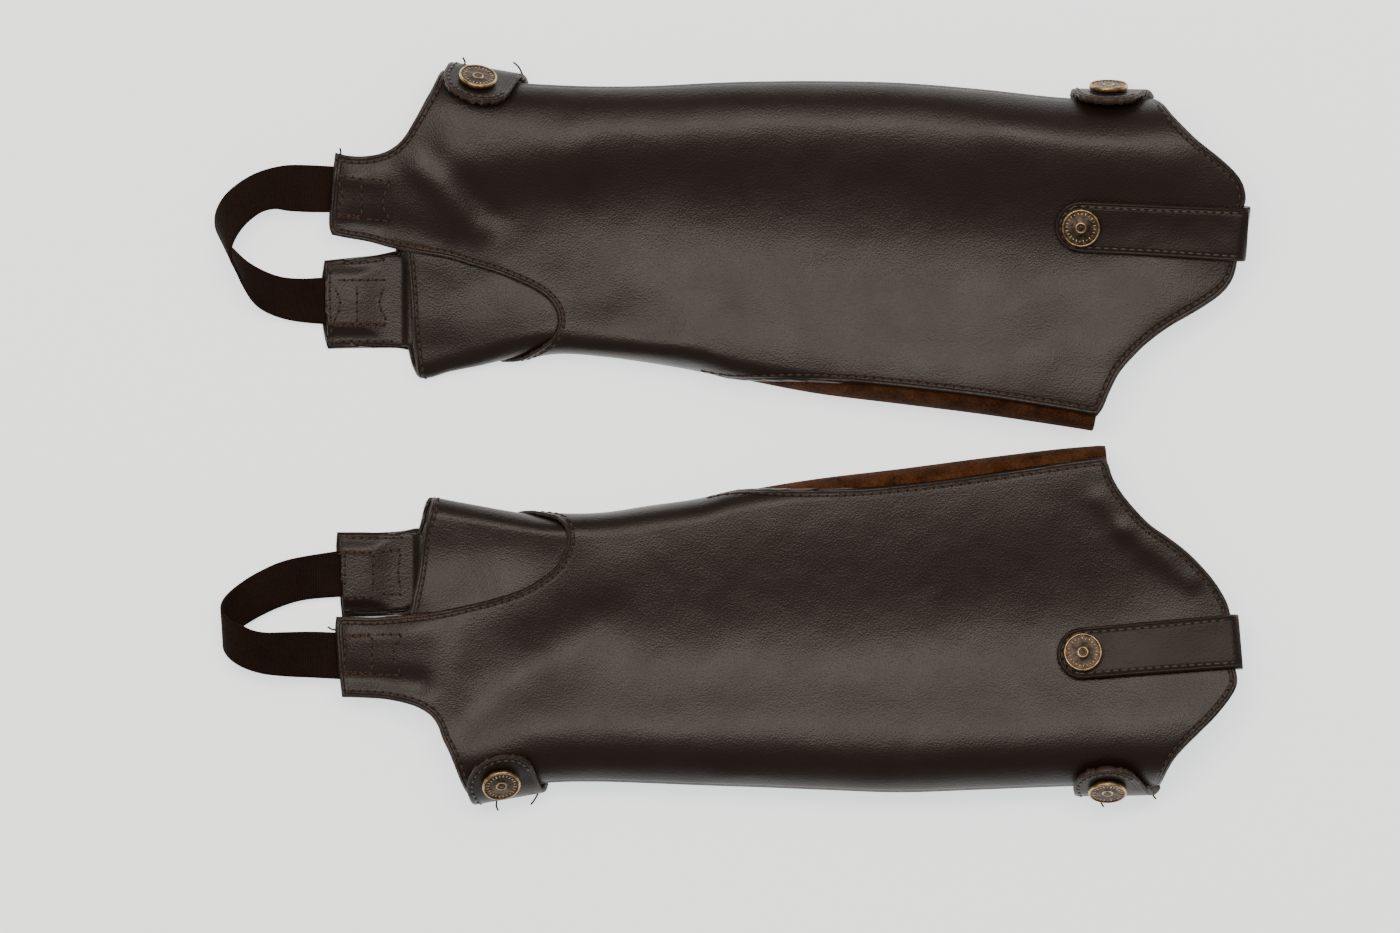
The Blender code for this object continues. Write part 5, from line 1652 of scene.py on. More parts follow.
class Sewing:
    """The stitches of one gaiter and the painted shade of their needle holes, joined into one
    piece.

    A thread stands HIGH and its middle lies RISE above the leather, in millimetres. Each needle
    hole is a nearly black bead of painted shade, whose width is HOLE_SHARE of the thread's.
    """

    PITCH = 3.4
    LONG = 2.5
    WIDE = 1.05
    HIGH = 0.8
    RISE = 0.06
    HOLE_LONG = 1.6
    HOLE_SHARE = 1.3
    HOLE_HIGH = 0.26
    SWAY_DEGREES = 7.0
    TACK = Stitch(1.5, 1.6, 0.7)
    OVER = Stitch(2.2, 2.0, 0.9)
    END_RADII = (0.48, 0.40)
    FINISHES = [Finish.THREAD, Finish.HOLE, Finish.DARK_THREAD]

    def __init__(self, name: str) -> None:
        """Start with no stitches.

        Args:
            name: The piece's name.
        """
        self.name = name
        self.batches = Batches()

    def row(
        self, lay: Lay, points: Sequence[Pair], thread: Thread = Thread.PLAIN, pitch: float = PITCH,
    ) -> None:
        """Sew a row along a run of the flat cut.

        Args:
            lay: How the cut lies.
            points: The run, in the cut's own places.
            thread: How it is sewn.
            pitch: The distance between stitches.
        """
        if thread is Thread.TACK:
            for shift in (-1.6, -0.5, 0.6, 1.7):
                self._stitches(lay, offset_run(points, shift), self.TACK)
            return
        if thread is Thread.OVERSEWN:
            for shift in (-0.7, 0.7):
                self._stitches(lay, offset_run(points, shift), self.OVER)
        stitch = Stitch(pitch, self.LONG * pitch / self.PITCH, self.WIDE, True)
        finish = Finish.DARK_THREAD if thread is Thread.DARK else Finish.THREAD
        self._stitches(lay, points, stitch, finish)

    def _stitches(
        self, lay: Lay, points: Sequence[Pair], stitch: Stitch, finish: Finish = Finish.THREAD,
    ) -> None:
        """Place stitches a pitch apart, each an ellipsoid half sunk in the leather.

        Args:
            lay: How the cut lies.
            points: The run.
            stitch: The stitches' sizes.
            finish: The thread's finish.
        """
        middles = resample(points, stitch.pitch)
        if len(middles) < 2:
            middles = np.array([points[0], points[-1]], float)
        ways = np.gradient(middles, axis=0)
        ways /= np.linalg.norm(ways, axis=1)[:, None]
        reach = ways * stitch.length / 2
        centres, heads, feet = (
            lay.spots(*run.T, self.RISE) for run in (middles, middles + reach, middles - reach)
        )
        outs = lay.normals(*middles.T)
        lies = list(zip(heads - feet, outs))
        for centre, lie in zip(centres, lies):
            self._bead(centre, *lie, sized(stitch.length, stitch.width, self.HIGH), finish)
        # Between the stitches go nearly black beads, painted shade standing in for the needle
        # holes.
        if stitch.holes:
            gaps = middles + ways * stitch.pitch / 2
            for centre, lie in zip(lay.spots(*gaps.T, 0.0), lies):
                hole = sized(self.HOLE_LONG, stitch.width * self.HOLE_SHARE, self.HOLE_HIGH)
                self._bead(centre, *lie, hole, Finish.HOLE)

    def _bead(
        self, centre: np.ndarray, way: np.ndarray, out: np.ndarray, size: Matrix, finish: Finish,
    ) -> None:
        """Add one ellipsoid, along way and flat against out, swayed a little.

        Args:
            centre: Its middle.
            way: Its long way.
            out: Its short way.
            size: Its scale.
            finish: Its finish.
        """
        bm = self.batches.next()
        sway = math.radians(self.SWAY_DEGREES * math.sin(self.batches.count * 2.4))
        turn = turned(way, out) @ Matrix.Rotation(sway, 4, "Z")
        matrix = Matrix.Translation(Vector(centre)) @ turn @ size
        made = bmesh.ops.create_uvsphere(bm, u_segments=7, v_segments=5, radius=0.5, matrix=matrix)
        self._paint(made["verts"], finish)

    def _paint(self, verts: Sequence[bmesh.types.BMVert], finish: Finish) -> None:
        """Give new faces their finish."""
        for face in faces_at(verts):
            face.material_index = self.FINISHES.index(finish)

    def thread_end(self, form: LegForm, points: Sequence[Triple]) -> None:
        """Add a loose end of thread through places of x, u and z.

        Args:
            form: The leg's form.
            points: The places.
        """
        spots = [Vector(p) for p in curve_through(points, 0.5)] + [Vector(points[-1])]
        places = [Vector(form.place(p.x, p.y, p.z)) for p in spots]
        for a, b in zip(places, places[1:]):
            way = b - a
            turn = way.to_track_quat("Z", "Y").to_matrix().to_4x4()
            made = bmesh.ops.create_cone(
                self.batches.next(), cap_ends=True, segments=6, radius1=self.END_RADII[0] * MM,
                radius2=self.END_RADII[1] * MM, depth=way.length * 1.1,
                matrix=Matrix.Translation((a + b) / 2) @ turn,
            )
            self._paint(made["verts"], Finish.HOLE)

    def build(self) -> bpy.types.Object:
        """Finish the piece."""
        return make_object(self.name, self.batches.joined(), self.FINISHES)


def outline_of(runs: Sequence[Run], step: float = 1.6) -> list[Vector]:
    """A closed outline through runs of flat places.

    Args:
        runs: The runs, each from where the last one ends.
        step: The spacing of its points.

    Returns:
        The outline's points.
    """
    points: list[Vector] = []
    for run in runs:
        points += curve_through(run, step)
    return [p for k, p in enumerate(points) if (p - points[k - 1]).length > 0.45]


def sides_of(corners: Run) -> list[Run]:
    """The straight sides of a closed shape."""
    return [[a, b] for a, b in zip(corners, corners[1:] + corners[:1])]


@dataclass(frozen=True)
class PlyRelief:
    """How far a tab's inner ply lies off its leather over the elastic and the cap's hem."""

    spare: float = 0.4
    end_slope: float = 14.0
    side_slope: float = 6.0
    hem_lift: float = 2.4
    hem_from: float = 3.5
    hem_slope: float = 4.0


@dataclass
class Shell:
    """The leather shell of one gaiter: both panels, the instep cap and the tabs' inner plies."""

    sizes: GaiterSizes
    form: LegForm
    sewing: Sewing
    edge_row: float = 2.9
    front_pitch: float = 4.0
    tab_pitch: float = 3.6
    rim_past: float = 6.0
    zip_past: float = 2.0
    fine_below: float = -55.0
    ply: PlyRelief = PlyRelief()

    def build(self) -> None:
        """Make the panels, the cap and the facings."""
        self.outer_panel()
        self.inner_panel()
        self.instep_cap()
        for which in ("outer", "inner"):
            self.tab_facing(which)

    def outer_panel(self) -> None:
        """The large outer panel, with its ankle tab, its scallop and its shaped knee."""
        s, form = self.sizes, self.form
        foot, scallop, knee = (form.on_top(run) for run in (s.foot_edge, s.scallop, s.knee_edge))
        seam_x = s.fold_rim[-1][0] - self.rim_past
        rim = [scallop[-1]] + form.round(s.fold_rim + [(seam_x, form.seam(seam_x, 0.0))])
        seam = form.seam_run(seam_x, s.front_tip[0][0], 0.0)
        front = form.on_top(s.front_edge)
        tip = [seam[-1]] + form.round(s.front_tip[1:]) + [front[0]]
        zip_knee = (s.zip_span[1] + self.zip_past, flat_of(ROLLS.zip_top))
        zip_foot = (foot[0][0], flat_of(ROLLS.zip_top))
        runs = [
            foot, form.on_top(s.tab_end), scallop, rim, seam, tip, front, knee + [zip_knee],
            [zip_knee, zip_foot],
        ]
        lay = PanelLay(form)
        sheet = Sheet(
            f"{s.name}_outer_leather", lay, outline_of(runs), WALLS.leather, Finish.LEATHER,
            fine_below=self.fine_below,
        )
        declare_sheet(sheet, f"{s.name}_outer_panel")
        inwards = -self.edge_row
        self.sewing.row(lay, offset_run(foot, inwards))
        self.sewing.row(lay, offset_run(scallop + rim[1:2], inwards))
        self.sewing.row(lay, offset_run([tip[-2]] + front, inwards), pitch=self.front_pitch)
        self.sewing.row(lay, offset_run(knee, inwards))
        for row in s.outer_rows:
            self.sewing.row(lay, form.on_top(row.points), row.thread, self.tab_pitch)

    def inner_panel(self) -> None:
        """The inner panel, which lies on the ground, with the other ankle tab."""
        s, form = self.sizes, self.form
        zip_foot = (s.zip_span[0], flat_of(ROLLS.zip_base))
        zip_knee = (s.zip_span[1], flat_of(ROLLS.zip_base))
        back = form.beneath(s.inner_back)
        seam = form.seam_run(s.inner_seam, s.inner_knee[0][0] - 1.0, ROLLS.seam_gap)
        runs = [
            [zip_foot] + form.beneath(s.inner_foot),
            form.beneath(s.inner_front),
            form.beneath(s.inner_end),
            back,
            [back[-1], seam[0]],
            seam,
            [seam[-1]] + form.beneath(s.inner_knee) + [zip_knee],
            [zip_knee, zip_foot],
        ]
        sheet = Sheet(
            f"{s.name}_inner_leather", PanelLay(form), outline_of(runs), WALLS.leather,
            Finish.LEATHER, cell=(4.0, 3.0),
        )
        declare_sheet(sheet, f"{s.name}_inner_panel")

    def instep_cap(self) -> None:
        """The cap over the instep, sewn inside the scallop."""
        s, form = self.sizes, self.form
        hem = form.on_top(s.cap["hem"])
        hem_round = hem + form.round(s.cap["hem_fold"]) + form.beneath(s.cap["hem_under"])
        under = form.beneath(s.cap["under"])
        over = form.on_top(s.cap["over"])
        runs = [hem_round, under, [under[-1]] + form.round(s.cap["back_fold"]) + [over[0]], over]
        lay = PanelLay(form, -WALLS.inset)
        sheet = Sheet(
            f"{s.name}_cap_leather", lay, outline_of(runs), WALLS.leather, Finish.LEATHER,
            cell=(1.8, 1.6),
        )
        declare_sheet(sheet, f"{s.name}_instep_cap")
        self.sewing.row(lay, offset_run(hem_round[1:7], -self.edge_row))

    def tab_facing(self, which: str) -> None:
        """The inner ply of an ankle tab, lifted over the elastic sewn between the plies.

        Args:
            which: outer or inner.
        """
        s, form, ply = self.sizes, self.form, self.ply
        ends = s.band_outer if which == "outer" else s.band_inner
        end_x = max(row.x for row in ends) + 1.0
        u_high, u_low = ends[1].u1, ends[1].u2
        hem_x = s.cap["hem_under"][0][0] - ply.hem_from

        def depth(x: np.ndarray, q: np.ndarray) -> np.ndarray:
            """How far the ply lies off its leather.

            Args:
                x: Places along the leg.
                q: Places round the section.

            Returns:
                Distances outwards.
            """
            u, _ = form.loop(x, q)
            sides = [(u - u_high) / ply.side_slope, (u_low - u) / ply.side_slope]
            past = np.maximum.reduce([(x - end_x) / ply.end_slope] + sides)
            over_hem = ply.hem_lift * smoothstep((x - hem_x) / ply.hem_slope)
            return -(WALLS.elastic + ply.spare) * (1 - smoothstep(past)) - over_hem

        to_flat = form.on_top if which == "outer" else form.beneath
        runs = sides_of(to_flat(s.facings[which]))
        back = WALLS.leather + WALLS.gap + WALLS.facing
        lay = PanelLay(LegForm(replace(s, pads=[])), -back, depth, -1)
        sheet = Sheet(
            f"{s.name}_{which}_tab_ply", lay, outline_of(runs), WALLS.facing, Finish.PLAIN_LEATHER,
            cell=(1.2, 1.2),
        )
        declare_sheet(sheet, f"{s.name}_{which}_tab_facing")
        if which == "inner":
            for row in s.inner_rows:
                self.sewing.row(lay, form.beneath(row.points), row.thread, self.tab_pitch)


def declare_sheet(sheet: Sheet, node: str) -> bpy.types.Object:
    """Build a sheet, put it in its node's place and state its cut.

    Args:
        sheet: The sheet.
        node: The solid that it replaces.

    Returns:
        The sheet's object.
    """
    thing = sheet.build()
    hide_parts(node)
    length, width = sheet.span
    width *= max(1.0, sheet.area / (width * length) * 1.001)
    faces = len(thing.data.polygons)
    LOG.info("%s: %d faces, cut %.0f x %.0f mm", thing.name, faces, width / MM, length / MM)
    return thing


@dataclass
class CalfGusset:
    """The suede gusset along the front of the calf."""

    sizes: GaiterSizes
    form: LegForm
    lap: float = 8.0
    lap_from: float = 12.0

    def build(self) -> None:
        """Make the gusset."""
        s, form = self.sizes, self.form
        tip = form.round(s.gusset["tip"])
        lap = form.seam_run(s.gusset_under, self.lap_from, self.lap)
        end = form.on_top(s.gusset["end_top"]) + form.round(s.gusset["end_fold"]) + [lap[0]]
        runs = [
            tip + form.on_top(s.gusset["top"]), end, lap + form.round([(0.0, 3.0)]) + [tip[0]],
        ]
        sheet = Sheet(
            f"{s.name}_suede", PanelLay(form, -WALLS.inset), outline_of(runs), WALLS.suede,
            Finish.SUEDE, cell=(3.0, 1.5),
        )
        declare_sheet(sheet, f"{s.name}_calf_gusset")


@dataclass
class Popper:
    """A brass popper cap with a raised rim, a ring of plain ticks and a plain middle."""

    radius: float = 8.75
    high: float = 2.7
    ticks: int = 24
    ring: float = 6.3
    tick_long: Pair = (1.1, 1.7)
    tick_wide: float = 0.46
    tick_high: float = 0.30

    def build(self, name: str, node: str, seat: Vector, normal: Vector) -> bpy.types.Object:
        """Turn the cap and set it on its seat.

        Args:
            name: The piece's name.
            node: The solid that it replaces.
            seat: The middle of its underside.
            normal: Its axis.

        Returns:
            The cap.
        """
        bm = bmesh.new()
        r, h = self.radius, self.high
        profile = [
            (0.0, h - 0.25), (0.7, h - 0.28), (1.0, h - 0.45), (1.7, h - 0.45), (1.9, h - 0.28),
            (2.3, h - 0.28), (2.5, h - 0.45), (r - 1.15, h - 0.45), (r - 0.95, h - 0.12),
            (r - 0.75, h), (r - 0.45, h - 0.02), (r - 0.15, h - 0.3), (r, h - 0.8), (r, 0.8),
            (r - 0.5, 0.1), (r - 1.2, 0.0), (0.0, 0.0),
        ]
        verts = [bm.verts.new((x, 0.0, z)) for x, z in profile]
        edges = [bm.edges.new(pair) for pair in zip(verts, verts[1:])]
        bmesh.ops.spin(
            bm, geom=verts + edges, cent=(0, 0, 0), axis=(0, 0, 1), angle=2 * math.pi, steps=48,
            use_merge=True,
        )
        bmesh.ops.remove_doubles(bm, verts=bm.verts, dist=0.002)
        bmesh.ops.recalc_face_normals(bm, faces=bm.faces)
        for face in bm.faces:
            middle = face.calc_center_median()
            away = math.hypot(middle.x, middle.y)
            plain = away < r - 1.0 and not 1.8 < away < 2.4
            face.material_index = 1 if plain and middle.z > h / 2 else 0
        for k in range(self.ticks):
            matrix = (
                Matrix.Rotation(2 * math.pi * k / self.ticks, 4, "Z")
                @ Matrix.Translation((self.ring, 0.0, h - 0.42))
                @ Matrix.Diagonal((self.tick_long[k % 2], self.tick_wide, self.tick_high, 1.0))
            )
            made = bmesh.ops.create_cube(bm, size=1.0, matrix=matrix)
            tick = faces_at(made["verts"])
            bmesh.ops.bevel(
                bm, geom=list({e for f in tick for e in f.edges}), offset=0.06, segments=1,
                affect="EDGES", profile=0.5, material=-1,
            )
        matrix = Matrix.Translation(seat) @ normal.to_track_quat("Z", "Y").to_matrix().to_4x4()
        bmesh.ops.transform(bm, matrix=matrix @ sized(1.0, 1.0, 1.0), verts=bm.verts)
        thing = make_object(name, bm, [Finish.BRASS_RIM, Finish.BRASS_FACE])
        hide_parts(node)
        LOG.info("%s: seated at %s", name, tuple(round(v, 4) for v in seat))
        return thing


@dataclass
class KneeStrap:
    """The strap from inside the knee edge to its popper."""

    sizes: GaiterSizes
    form: LegForm
    sewing: Sewing
    row_in: float = 2.5
    row_stop: float = 4.5
    pitch: float = 3.8
    seat_lift: float = 0.75

    def build(self) -> None:
        """Make the strap, its stitches and its popper."""
        s, name = self.sizes.strap, self.sizes.name
        lay = StrapLay(self.form, s)
        end = lay.reach + math.pi * lay.bend + s.tuck
        wide = s.half + s.flare
        sides = sides_of([(0.0, s.half), (end, wide), (end, -wide), (0.0, -s.half)])
        runs = [self._round_end(s.half)] + sides[:3]
        sheet = Sheet(
            f"{name}_strap_leather", lay, outline_of(runs), WALLS.strap, Finish.MATT_LEATHER,
            cell=(1.3, 1.6),
        )
        declare_sheet(sheet, f"{name}_knee_strap")
        r = s.half - self.row_in
        stop = lay.reach - self.row_stop
        far = r + s.flare
        row = [(stop, -far), (stop / 2, -r)] + self._round_end(r) + [(stop / 2, r), (stop, far)]
        self.sewing.row(lay, row, Thread.DARK, self.pitch)
        seat, out = seat_on(lay, 0.0, 0.0, self.seat_lift, 3.0)
        Popper().build(f"{name}_strap_cap", f"{name}_strap_popper", seat, out)

    def _round_end(self, radius: float) -> Run:
        """Half a turn round the popper."""
        angles = np.linspace(math.pi / 2, -math.pi / 2, 13)
        return [(-radius * math.cos(t), -radius * math.sin(t)) for t in angles]


def seat_on(lay: Lay, a: float, b: float, lift: float, reach: float) -> tuple[Vector, Vector]:
    """A popper's seat on a laid cut.

    Args:
        lay: How the cut lies.
        a: The seat's place along the cut.
        b: Its place across the cut.
        lift: How far above the cut it is.
        reach: How far round the place the cut's slope is felt.

    Returns:
        The seat's middle and its axis, out of the cut's right side.
    """
    at_a, at_b = np.array([a]), np.array([b])
    steps = reach * np.array([[-1, 1, 0, 0], [0, 0, -1, 1]])
    spots = lay.spots(at_a + steps[0], at_b + steps[1], 0.0)
    normal = Vector(spots[1] - spots[0]).cross(Vector(spots[3] - spots[2])).normalized()
    out = Vector(lay.normals(at_a, at_b)[0])
    return Vector(lay.spots(at_a, at_b, lift)[0]), normal if normal.dot(out) > 0 else -normal


@dataclass
class PopperTab:
    """A two-ply tab from the inner panel round the zip roll, with a popper in its flat head."""

    sizes: GaiterSizes
    form: LegForm
    sewing: Sewing
    which: str
    head: float = 15.5
    row_in: float = 2.4
    row_base: float = 3.0
    pitch: float = 3.2
    seat_lift: float = 0.35

    def build(self) -> None:
        """Make the tab, its stitches and its popper."""
        tab = self.sizes.tabs[self.which]
        lay = TabLay(self.form, tab)
        name = f"{self.sizes.name}_{self.which}"
        outline = self._hull(tab, lay.head_b, self.head, tab.left_p, tab.right_p, 0.0)
        runs = [outline[:2], outline[1:-1], outline[-2:], [outline[-1], outline[0]]]
        sheet = Sheet(
            f"{name}_tab_leather", lay, outline_of(runs, 1.4), WALLS.tab,
            Finish.MATT_LEATHER, cell=(1.5, 1.5),
        )
        declare_sheet(sheet, f"{name}_tab")
        inner = self._hull(
            tab, lay.head_b, self.head - self.row_in, tab.left_p + self.row_in,
            tab.right_p - self.row_in, self.row_base,
        )
        self.sewing.row(lay, inner[1:], Thread.DARK, self.pitch)
        seat, out = seat_on(lay, tab.head_p, lay.head_b, self.seat_lift, 2.0)
        Popper().build(f"{name}_cap", f"{name}_popper", seat, out)

    def _hull(
        self, tab: PopperTabSizes, head_b: float, radius: float, left: float, right: float,
        base: float,
    ) -> Run:
        """Outline from one end of the base round the head to the other end.

        Args:
            tab: The tab's sizes.
            head_b: How far up the tab its head's middle is.
            radius: The head's radius.
            left: One end of the base.
            right: The other end.
            base: How far up the tab the base is.

        Returns:
            The outline, open at the base.
        """
        angles = []
        for end in (right, left):
            dx, dy = end - tab.head_p, base - head_b
            away = math.hypot(dx, dy)
            lean = math.acos(min(radius / away, 1.0))
            towards = math.atan2(dy, dx)
            angles.append(towards + lean if end == right else towards - lean)
        start, stop = angles
        stop += 2 * math.pi if stop < start else 0.0
        arc = [
            (tab.head_p + radius * math.cos(t), head_b + radius * math.sin(t))
            for t in np.linspace(start, stop, 25)
        ]
        return [(right, base)] + arc + [(left, base)]


@dataclass
class FootElastic:
    """The elastic under the foot, half turned over in its loop."""

    sizes: GaiterSizes
    form: LegForm
    columns: int = 14
    step: float = 1.2
    spare: float = 0.1

    def _edges(self) -> list[list[Vector]]:
        """Both edges, with as many points as each other.

        Returns:
            The two runs of points.
        """
        s, form = self.sizes, self.form
        depth = WALLS.leather + WALLS.gap + self.spare + WALLS.elastic / 2
        rows = [
            [form.face(end.x, form.over(end.x, u), -depth) for u in (end.u1, end.u2)]
            for end in s.band_outer
        ]
        rows += [[form.place(b.x1, b.u1, b.z1), form.place(b.x2, b.u2, b.z2)] for b in s.band]
        rows += [[form.place(end.x, u, depth) for u in (end.u1, end.u2)] for end in s.band_inner]
        edges = [curve_through([row[k] for row in rows], self.step * MM) for k in (0, 1)]
        count = max(len(edge) for edge in edges)
        return [self._even(edge, count) for edge in edges]

    def build(self) -> None:
        """Make the elastic."""
        s, runs = self.sizes, self._edges()
        count = len(runs[0])
        bm = bmesh.new()
        bmesh.ops.create_grid(bm, x_segments=count - 1, y_segments=self.columns, size=1.0)
        uv = bm.loops.layers.uv.new("cut")
        rim = bm.verts.layers.float.new("rim")
        wide = (runs[0][0] - runs[1][0]).length / MM
        middles = [(a + b) / 2 for a, b in zip(*runs)]
        along = [0.0]
        for here, there in zip(middles, middles[1:]):
            along.append(along[-1] + (there - here).length / MM)
        for face in bm.faces:
            for loop in face.loops:
                row = round((loop.vert.co.x + 1) / 2 * (count - 1))
                loop[uv].uv = (along[row], (loop.vert.co.y + 1) / 2 * wide)
        for vert in bm.verts:
            row = round((vert.co.x + 1) / 2 * (count - 1))
            share = (vert.co.y + 1) / 2
            vert[rim] = min(share, 1 - share) * wide
            vert.co = runs[0][row].lerp(runs[1][row], share)
        bmesh.ops.recalc_face_normals(bm, faces=bm.faces)
        area = sum(f.calc_area() for f in bm.faces)
        thing = make_object(f"{s.name}_elastic", bm, [Finish.ELASTIC])
        add_wall(thing, WALLS.elastic, offset=0.0, even=False)
        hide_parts(f"{s.name}_foot_elastic")
        long = along[-1] * MM
        flat = (max(wide * MM, area / long * 1.001), long)
        LOG.info("%s: %.0f mm long", thing.name, along[-1])

    def _even(self, points: list[Vector], count: int) -> list[Vector]:
        """The same number of points, evenly spaced along an edge.

        Args:
            points: The edge.
            count: The number.

        Returns:
            The new points.
        """
        line = np.array([tuple(p) for p in points])
        places = np.linspace(0, len(line) - 1, count)
        columns = [np.interp(places, np.arange(len(line)), line[:, k]) for k in range(3)]
        return [Vector(p) for p in np.stack(columns, axis=1)]


@dataclass
class StripLay(Lay):
    """A strip along the zip roll: a along the leg, b round the roll in millimetres."""

    form: LegForm
    depth: float

    def spots(self, a: np.ndarray, b: np.ndarray, w: Number) -> np.ndarray:
        """Places of x and q."""
        return self.form.face(a, b / ROLLS.roll_mm, self.depth + np.asarray(w))


@dataclass
class BackZip:
    """The back zip: its tape, its coil and its parked slider.

    low, high and middle are places round the roll. Each part of the slider has its place along the
    leg, its sizes and its rise.
    """

    sizes: GaiterSizes
    form: LegForm
    pitch: float = 1.7
    low: float = -18.0
    high: float = 14.4
    middle: float = -1.8
    stops: Pair = (3.0, 4.0)
    tape_sunk: float = 0.4
    coil_rise: float = 0.2
    stagger: float = 0.9
    half_loop: float = 1.6
    loop_size: Triple = (3.4, 0.84, 1.0)
    park_ahead: float = 6.0
    slider_parts: tuple[tuple[float, Triple, float], ...] = (
        (0.0, (9.5, 6.4, 1.3), 0.7),
        (-1.0, (6.0, 2.0, 0.9), 1.7),
        (-11.0, (15.0, 4.6, 0.6), 1.4),
    )

    def build(self) -> None:
        """Make the tape, the coil and the slider."""
        s = self.sizes
        x0, x1 = s.zip_span
        runs = sides_of([(x0, self.high), (x1, self.high), (x1, self.low), (x0, self.low)])
        sheet = Sheet(
            f"{s.name}_tape", StripLay(self.form, -WALLS.leather - self.tape_sunk),
            outline_of(runs, 4.0), WALLS.tape, Finish.TAPE, cell=(5.0, 1.6),
        )
        declare_sheet(sheet, f"{s.name}_zip_tape")
        lay = StripLay(self.form, -WALLS.leather + self.coil_rise)
        self._coil(lay, np.arange(x0 + self.stops[0], x1 - self.stops[1], self.pitch / 2))
        self._slider(lay, s.tabs["knee"].x + self.park_ahead)

    def _coil(self, lay: StripLay, xs: np.ndarray) -> None:
        """Two interlocked rows of loops at places along the leg.

        Args:
            lay: How the coil lies.
            xs: The loops' places.
        """
        batches = Batches()
        middles = self.middle + np.where(np.arange(len(xs)) % 2, self.stagger, -self.stagger)
        heads = lay.spots(xs, middles + self.half_loop, 0.0)
        feet = lay.spots(xs, middles - self.half_loop, 0.0)
        outs = lay.normals(xs, np.full(len(xs), self.middle))
        for head, foot, out in zip(heads, feet, outs):
            matrix = Matrix.Translation(Vector(head + foot) / 2) @ turned(head - foot, out)
            bmesh.ops.create_uvsphere(
                batches.next(), u_segments=6, v_segments=5, radius=0.5,
                matrix=matrix @ sized(*self.loop_size),
            )
        thing = make_object(f"{self.sizes.name}_coil", batches.joined(), [Finish.TEETH])
        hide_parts(f"{self.sizes.name}_zip_chain")
        LOG.info("%s: %d loops", thing.name, len(xs))

    def _slider(self, lay: StripLay, park: float) -> None:
        """The slider's body, its bridge and its pull leaf, laid flat towards the foot.

        Args:
            lay: How the coil lies.
            park: The slider's place.
        """
        bm = bmesh.new()
        for along, size, rise in self.slider_parts:
            a, b = np.array([park + along]), np.array([self.middle])
            turn = turned((1.0, 0.0, 0.0), lay.normals(a, b)[0])
            matrix = Matrix.Translation(Vector(lay.spots(a, b, rise)[0])) @ turn @ sized(*size)
            made = bmesh.ops.create_cube(bm, size=1.0, matrix=matrix)
            edges = list({e for v in made["verts"] for e in v.link_edges})
            bmesh.ops.bevel(
                bm, geom=edges, offset=size[2] * 0.35 * MM, segments=3, affect="EDGES", profile=0.5,
                material=-1,
            )
        thing = make_object(f"{self.sizes.name}_slider", bm, [Finish.BRASS_FACE])
        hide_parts(f"{self.sizes.name}_zip_slider")
        LOG.info("%s: parked at %.0f mm", thing.name, park)


@dataclass
class Gaiter:
    """One whole gaiter."""

    sizes: GaiterSizes
    form: LegForm = field(init=False)
    sewing: Sewing = field(init=False)

    def __post_init__(self) -> None:
        """Set out its form and its sewing."""
        self.form = LegForm(self.sizes)
        self.sewing = Sewing(f"{self.sizes.name}_stitches")

    def build(self) -> None:
        """Make every piece of the gaiter."""
        Shell(self.sizes, self.form, self.sewing).build()
        CalfGusset(self.sizes, self.form).build()
        KneeStrap(self.sizes, self.form, self.sewing).build()
        for which in ("ankle", "knee"):
            PopperTab(self.sizes, self.form, self.sewing, which).build()
        FootElastic(self.sizes, self.form).build()
        BackZip(self.sizes, self.form).build()
        for points in self.sizes.thread_ends:
            self.sewing.thread_end(self.form, points)
        stitches = self.sewing.build()
        LOG.info("%s: %d beads", stitches.name, self.sewing.batches.count)


@dataclass(frozen=True)
class Softbox:
    """A soft studio light: where it stands, what it looks at, its sizes and its power."""

    name: str
    place: Triple
    wide: float
    high: float
    power: float
    aim: Triple = (0.0, 0.0, 0.0)
    colour: Triple = (1.0, 0.885, 0.79)

    def build(self) -> None:
        """Put up the light."""
        light = bpy.data.lights.new(self.name, "AREA")
        light.shape = "RECTANGLE"
        light.size, light.size_y = self.wide, self.high
        light.energy = self.power
        light.color = self.colour
        thing = bpy.data.objects.new(self.name, light)
        way = Vector(self.aim) - Vector(self.place)
        turn = way.to_track_quat("-Z", "Y").to_matrix().to_4x4()
        thing.matrix_world = Matrix.Translation(self.place) @ turn
        bpy.context.scene.collection.objects.link(thing)
        LOG.info("%s light: %.0f W", self.name, self.power)


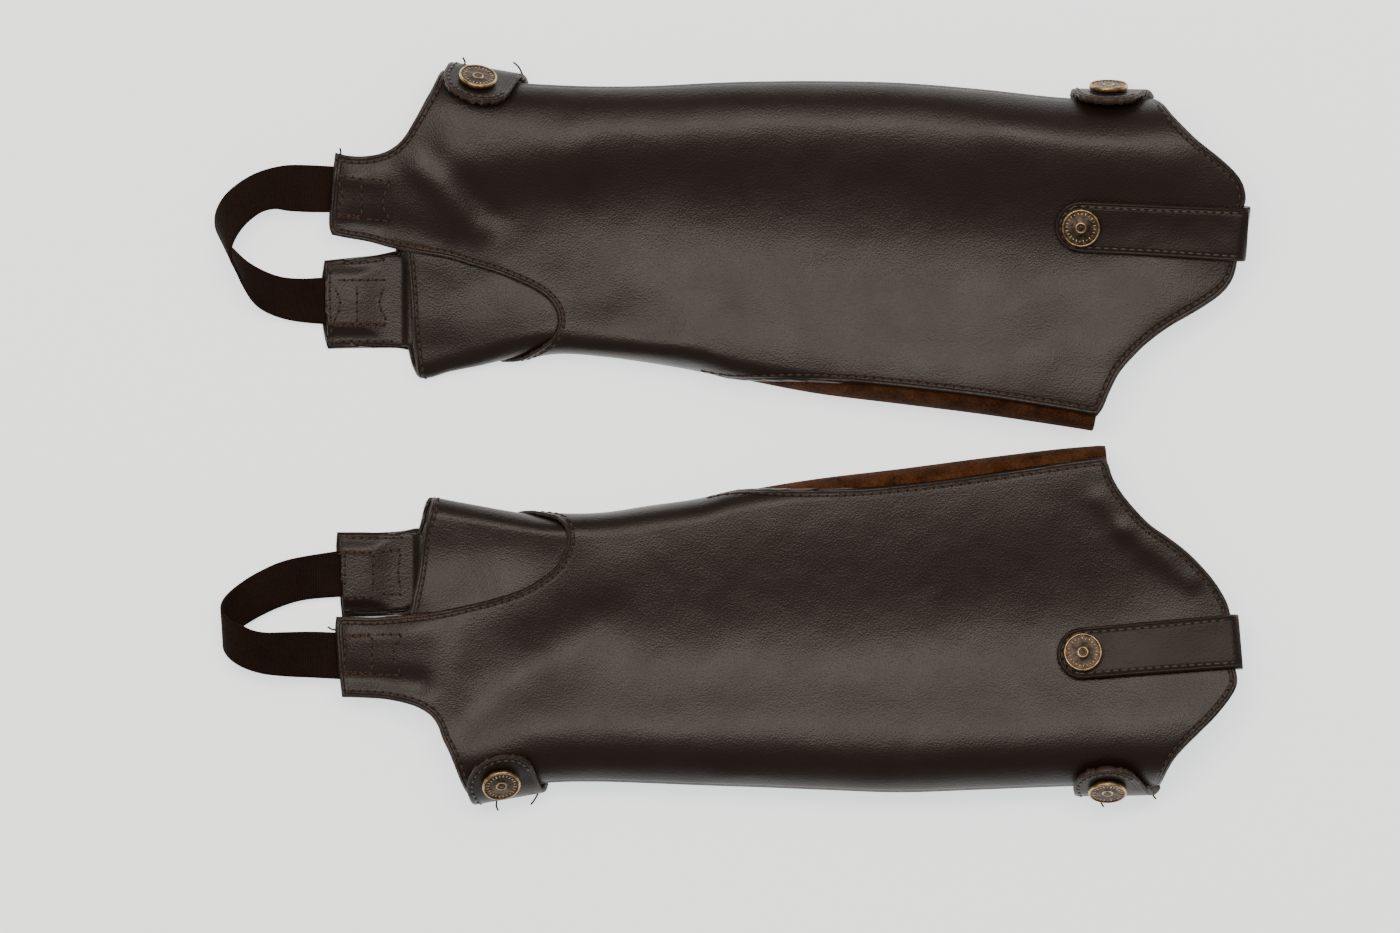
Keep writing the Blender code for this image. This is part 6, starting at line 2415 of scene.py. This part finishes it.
@dataclass
class Studio:
    """A pale floor, soft lights and the camera straight above."""

    scale: float = 0.63
    camera_at: Triple = (-0.01495, -0.0149, 2.0)
    floor: float = 6.0
    floor_drop: float = 0.0002
    glow: float = 1.35
    sky: Colour = (1.0, 0.92, 0.85, 1.0)
    sky_strength: float = 0.30
    lights: tuple[Softbox, ...] = (
        Softbox("key", (-0.1, 0.43, 1.96), 2.4, 0.55, 25.0),
        Softbox("side", (-0.1, 0.96, 1.76), 2.4, 0.65, 9.0),
    )

    def build(self) -> None:
        """Make the floor, the lights, the sky and the camera."""
        self._floor()
        for light in self.lights:
            light.build()
        world = bpy.data.worlds.new("studio")
        world.use_nodes = True
        sky = world.node_tree.nodes["Background"]
        sky.inputs["Color"].default_value = self.sky
        sky.inputs["Strength"].default_value = self.sky_strength
        bpy.context.scene.world = world
        camera = bpy.data.cameras.new("camera")
        camera.type = "ORTHO"
        camera.ortho_scale = self.scale
        thing = bpy.data.objects.new("camera", camera)
        thing.location = self.camera_at
        bpy.context.scene.collection.objects.link(thing)
        bpy.context.scene.camera = thing
        LOG.info("camera: %.2f m wide", self.scale)

    def _floor(self) -> None:
        """Lay the pale floor just under the pair."""
        bm = bmesh.new()
        bmesh.ops.create_grid(bm, x_segments=1, y_segments=1, size=self.floor / 2)
        bmesh.ops.translate(bm, verts=bm.verts, vec=(0.0, 0.0, -self.floor_drop))
        mesh = bpy.data.meshes.new("floor")
        bm.to_mesh(mesh)
        bm.free()
        material = ShaderMaker("pale_floor").dress(
            Base_Color=(0.90, 0.90, 0.90, 1), Roughness=0.9, Emission_Color=(0.93, 0.98, 1.0, 1),
            Emission_Strength=self.glow,
        )
        mesh.materials.append(material)
        floor = bpy.data.objects.new("floor", mesh)
        bpy.context.scene.collection.objects.link(floor)
        LOG.info("floor: %.0f m", self.floor)


def main() -> None:
    """Build the pair and the studio."""
    logging.basicConfig(level=logging.INFO, format="%(message)s")
    for sizes in (RIGHT, LEFT):
        Gaiter(sizes).build()
    Studio().build()


if __name__ == "__main__":
    main()
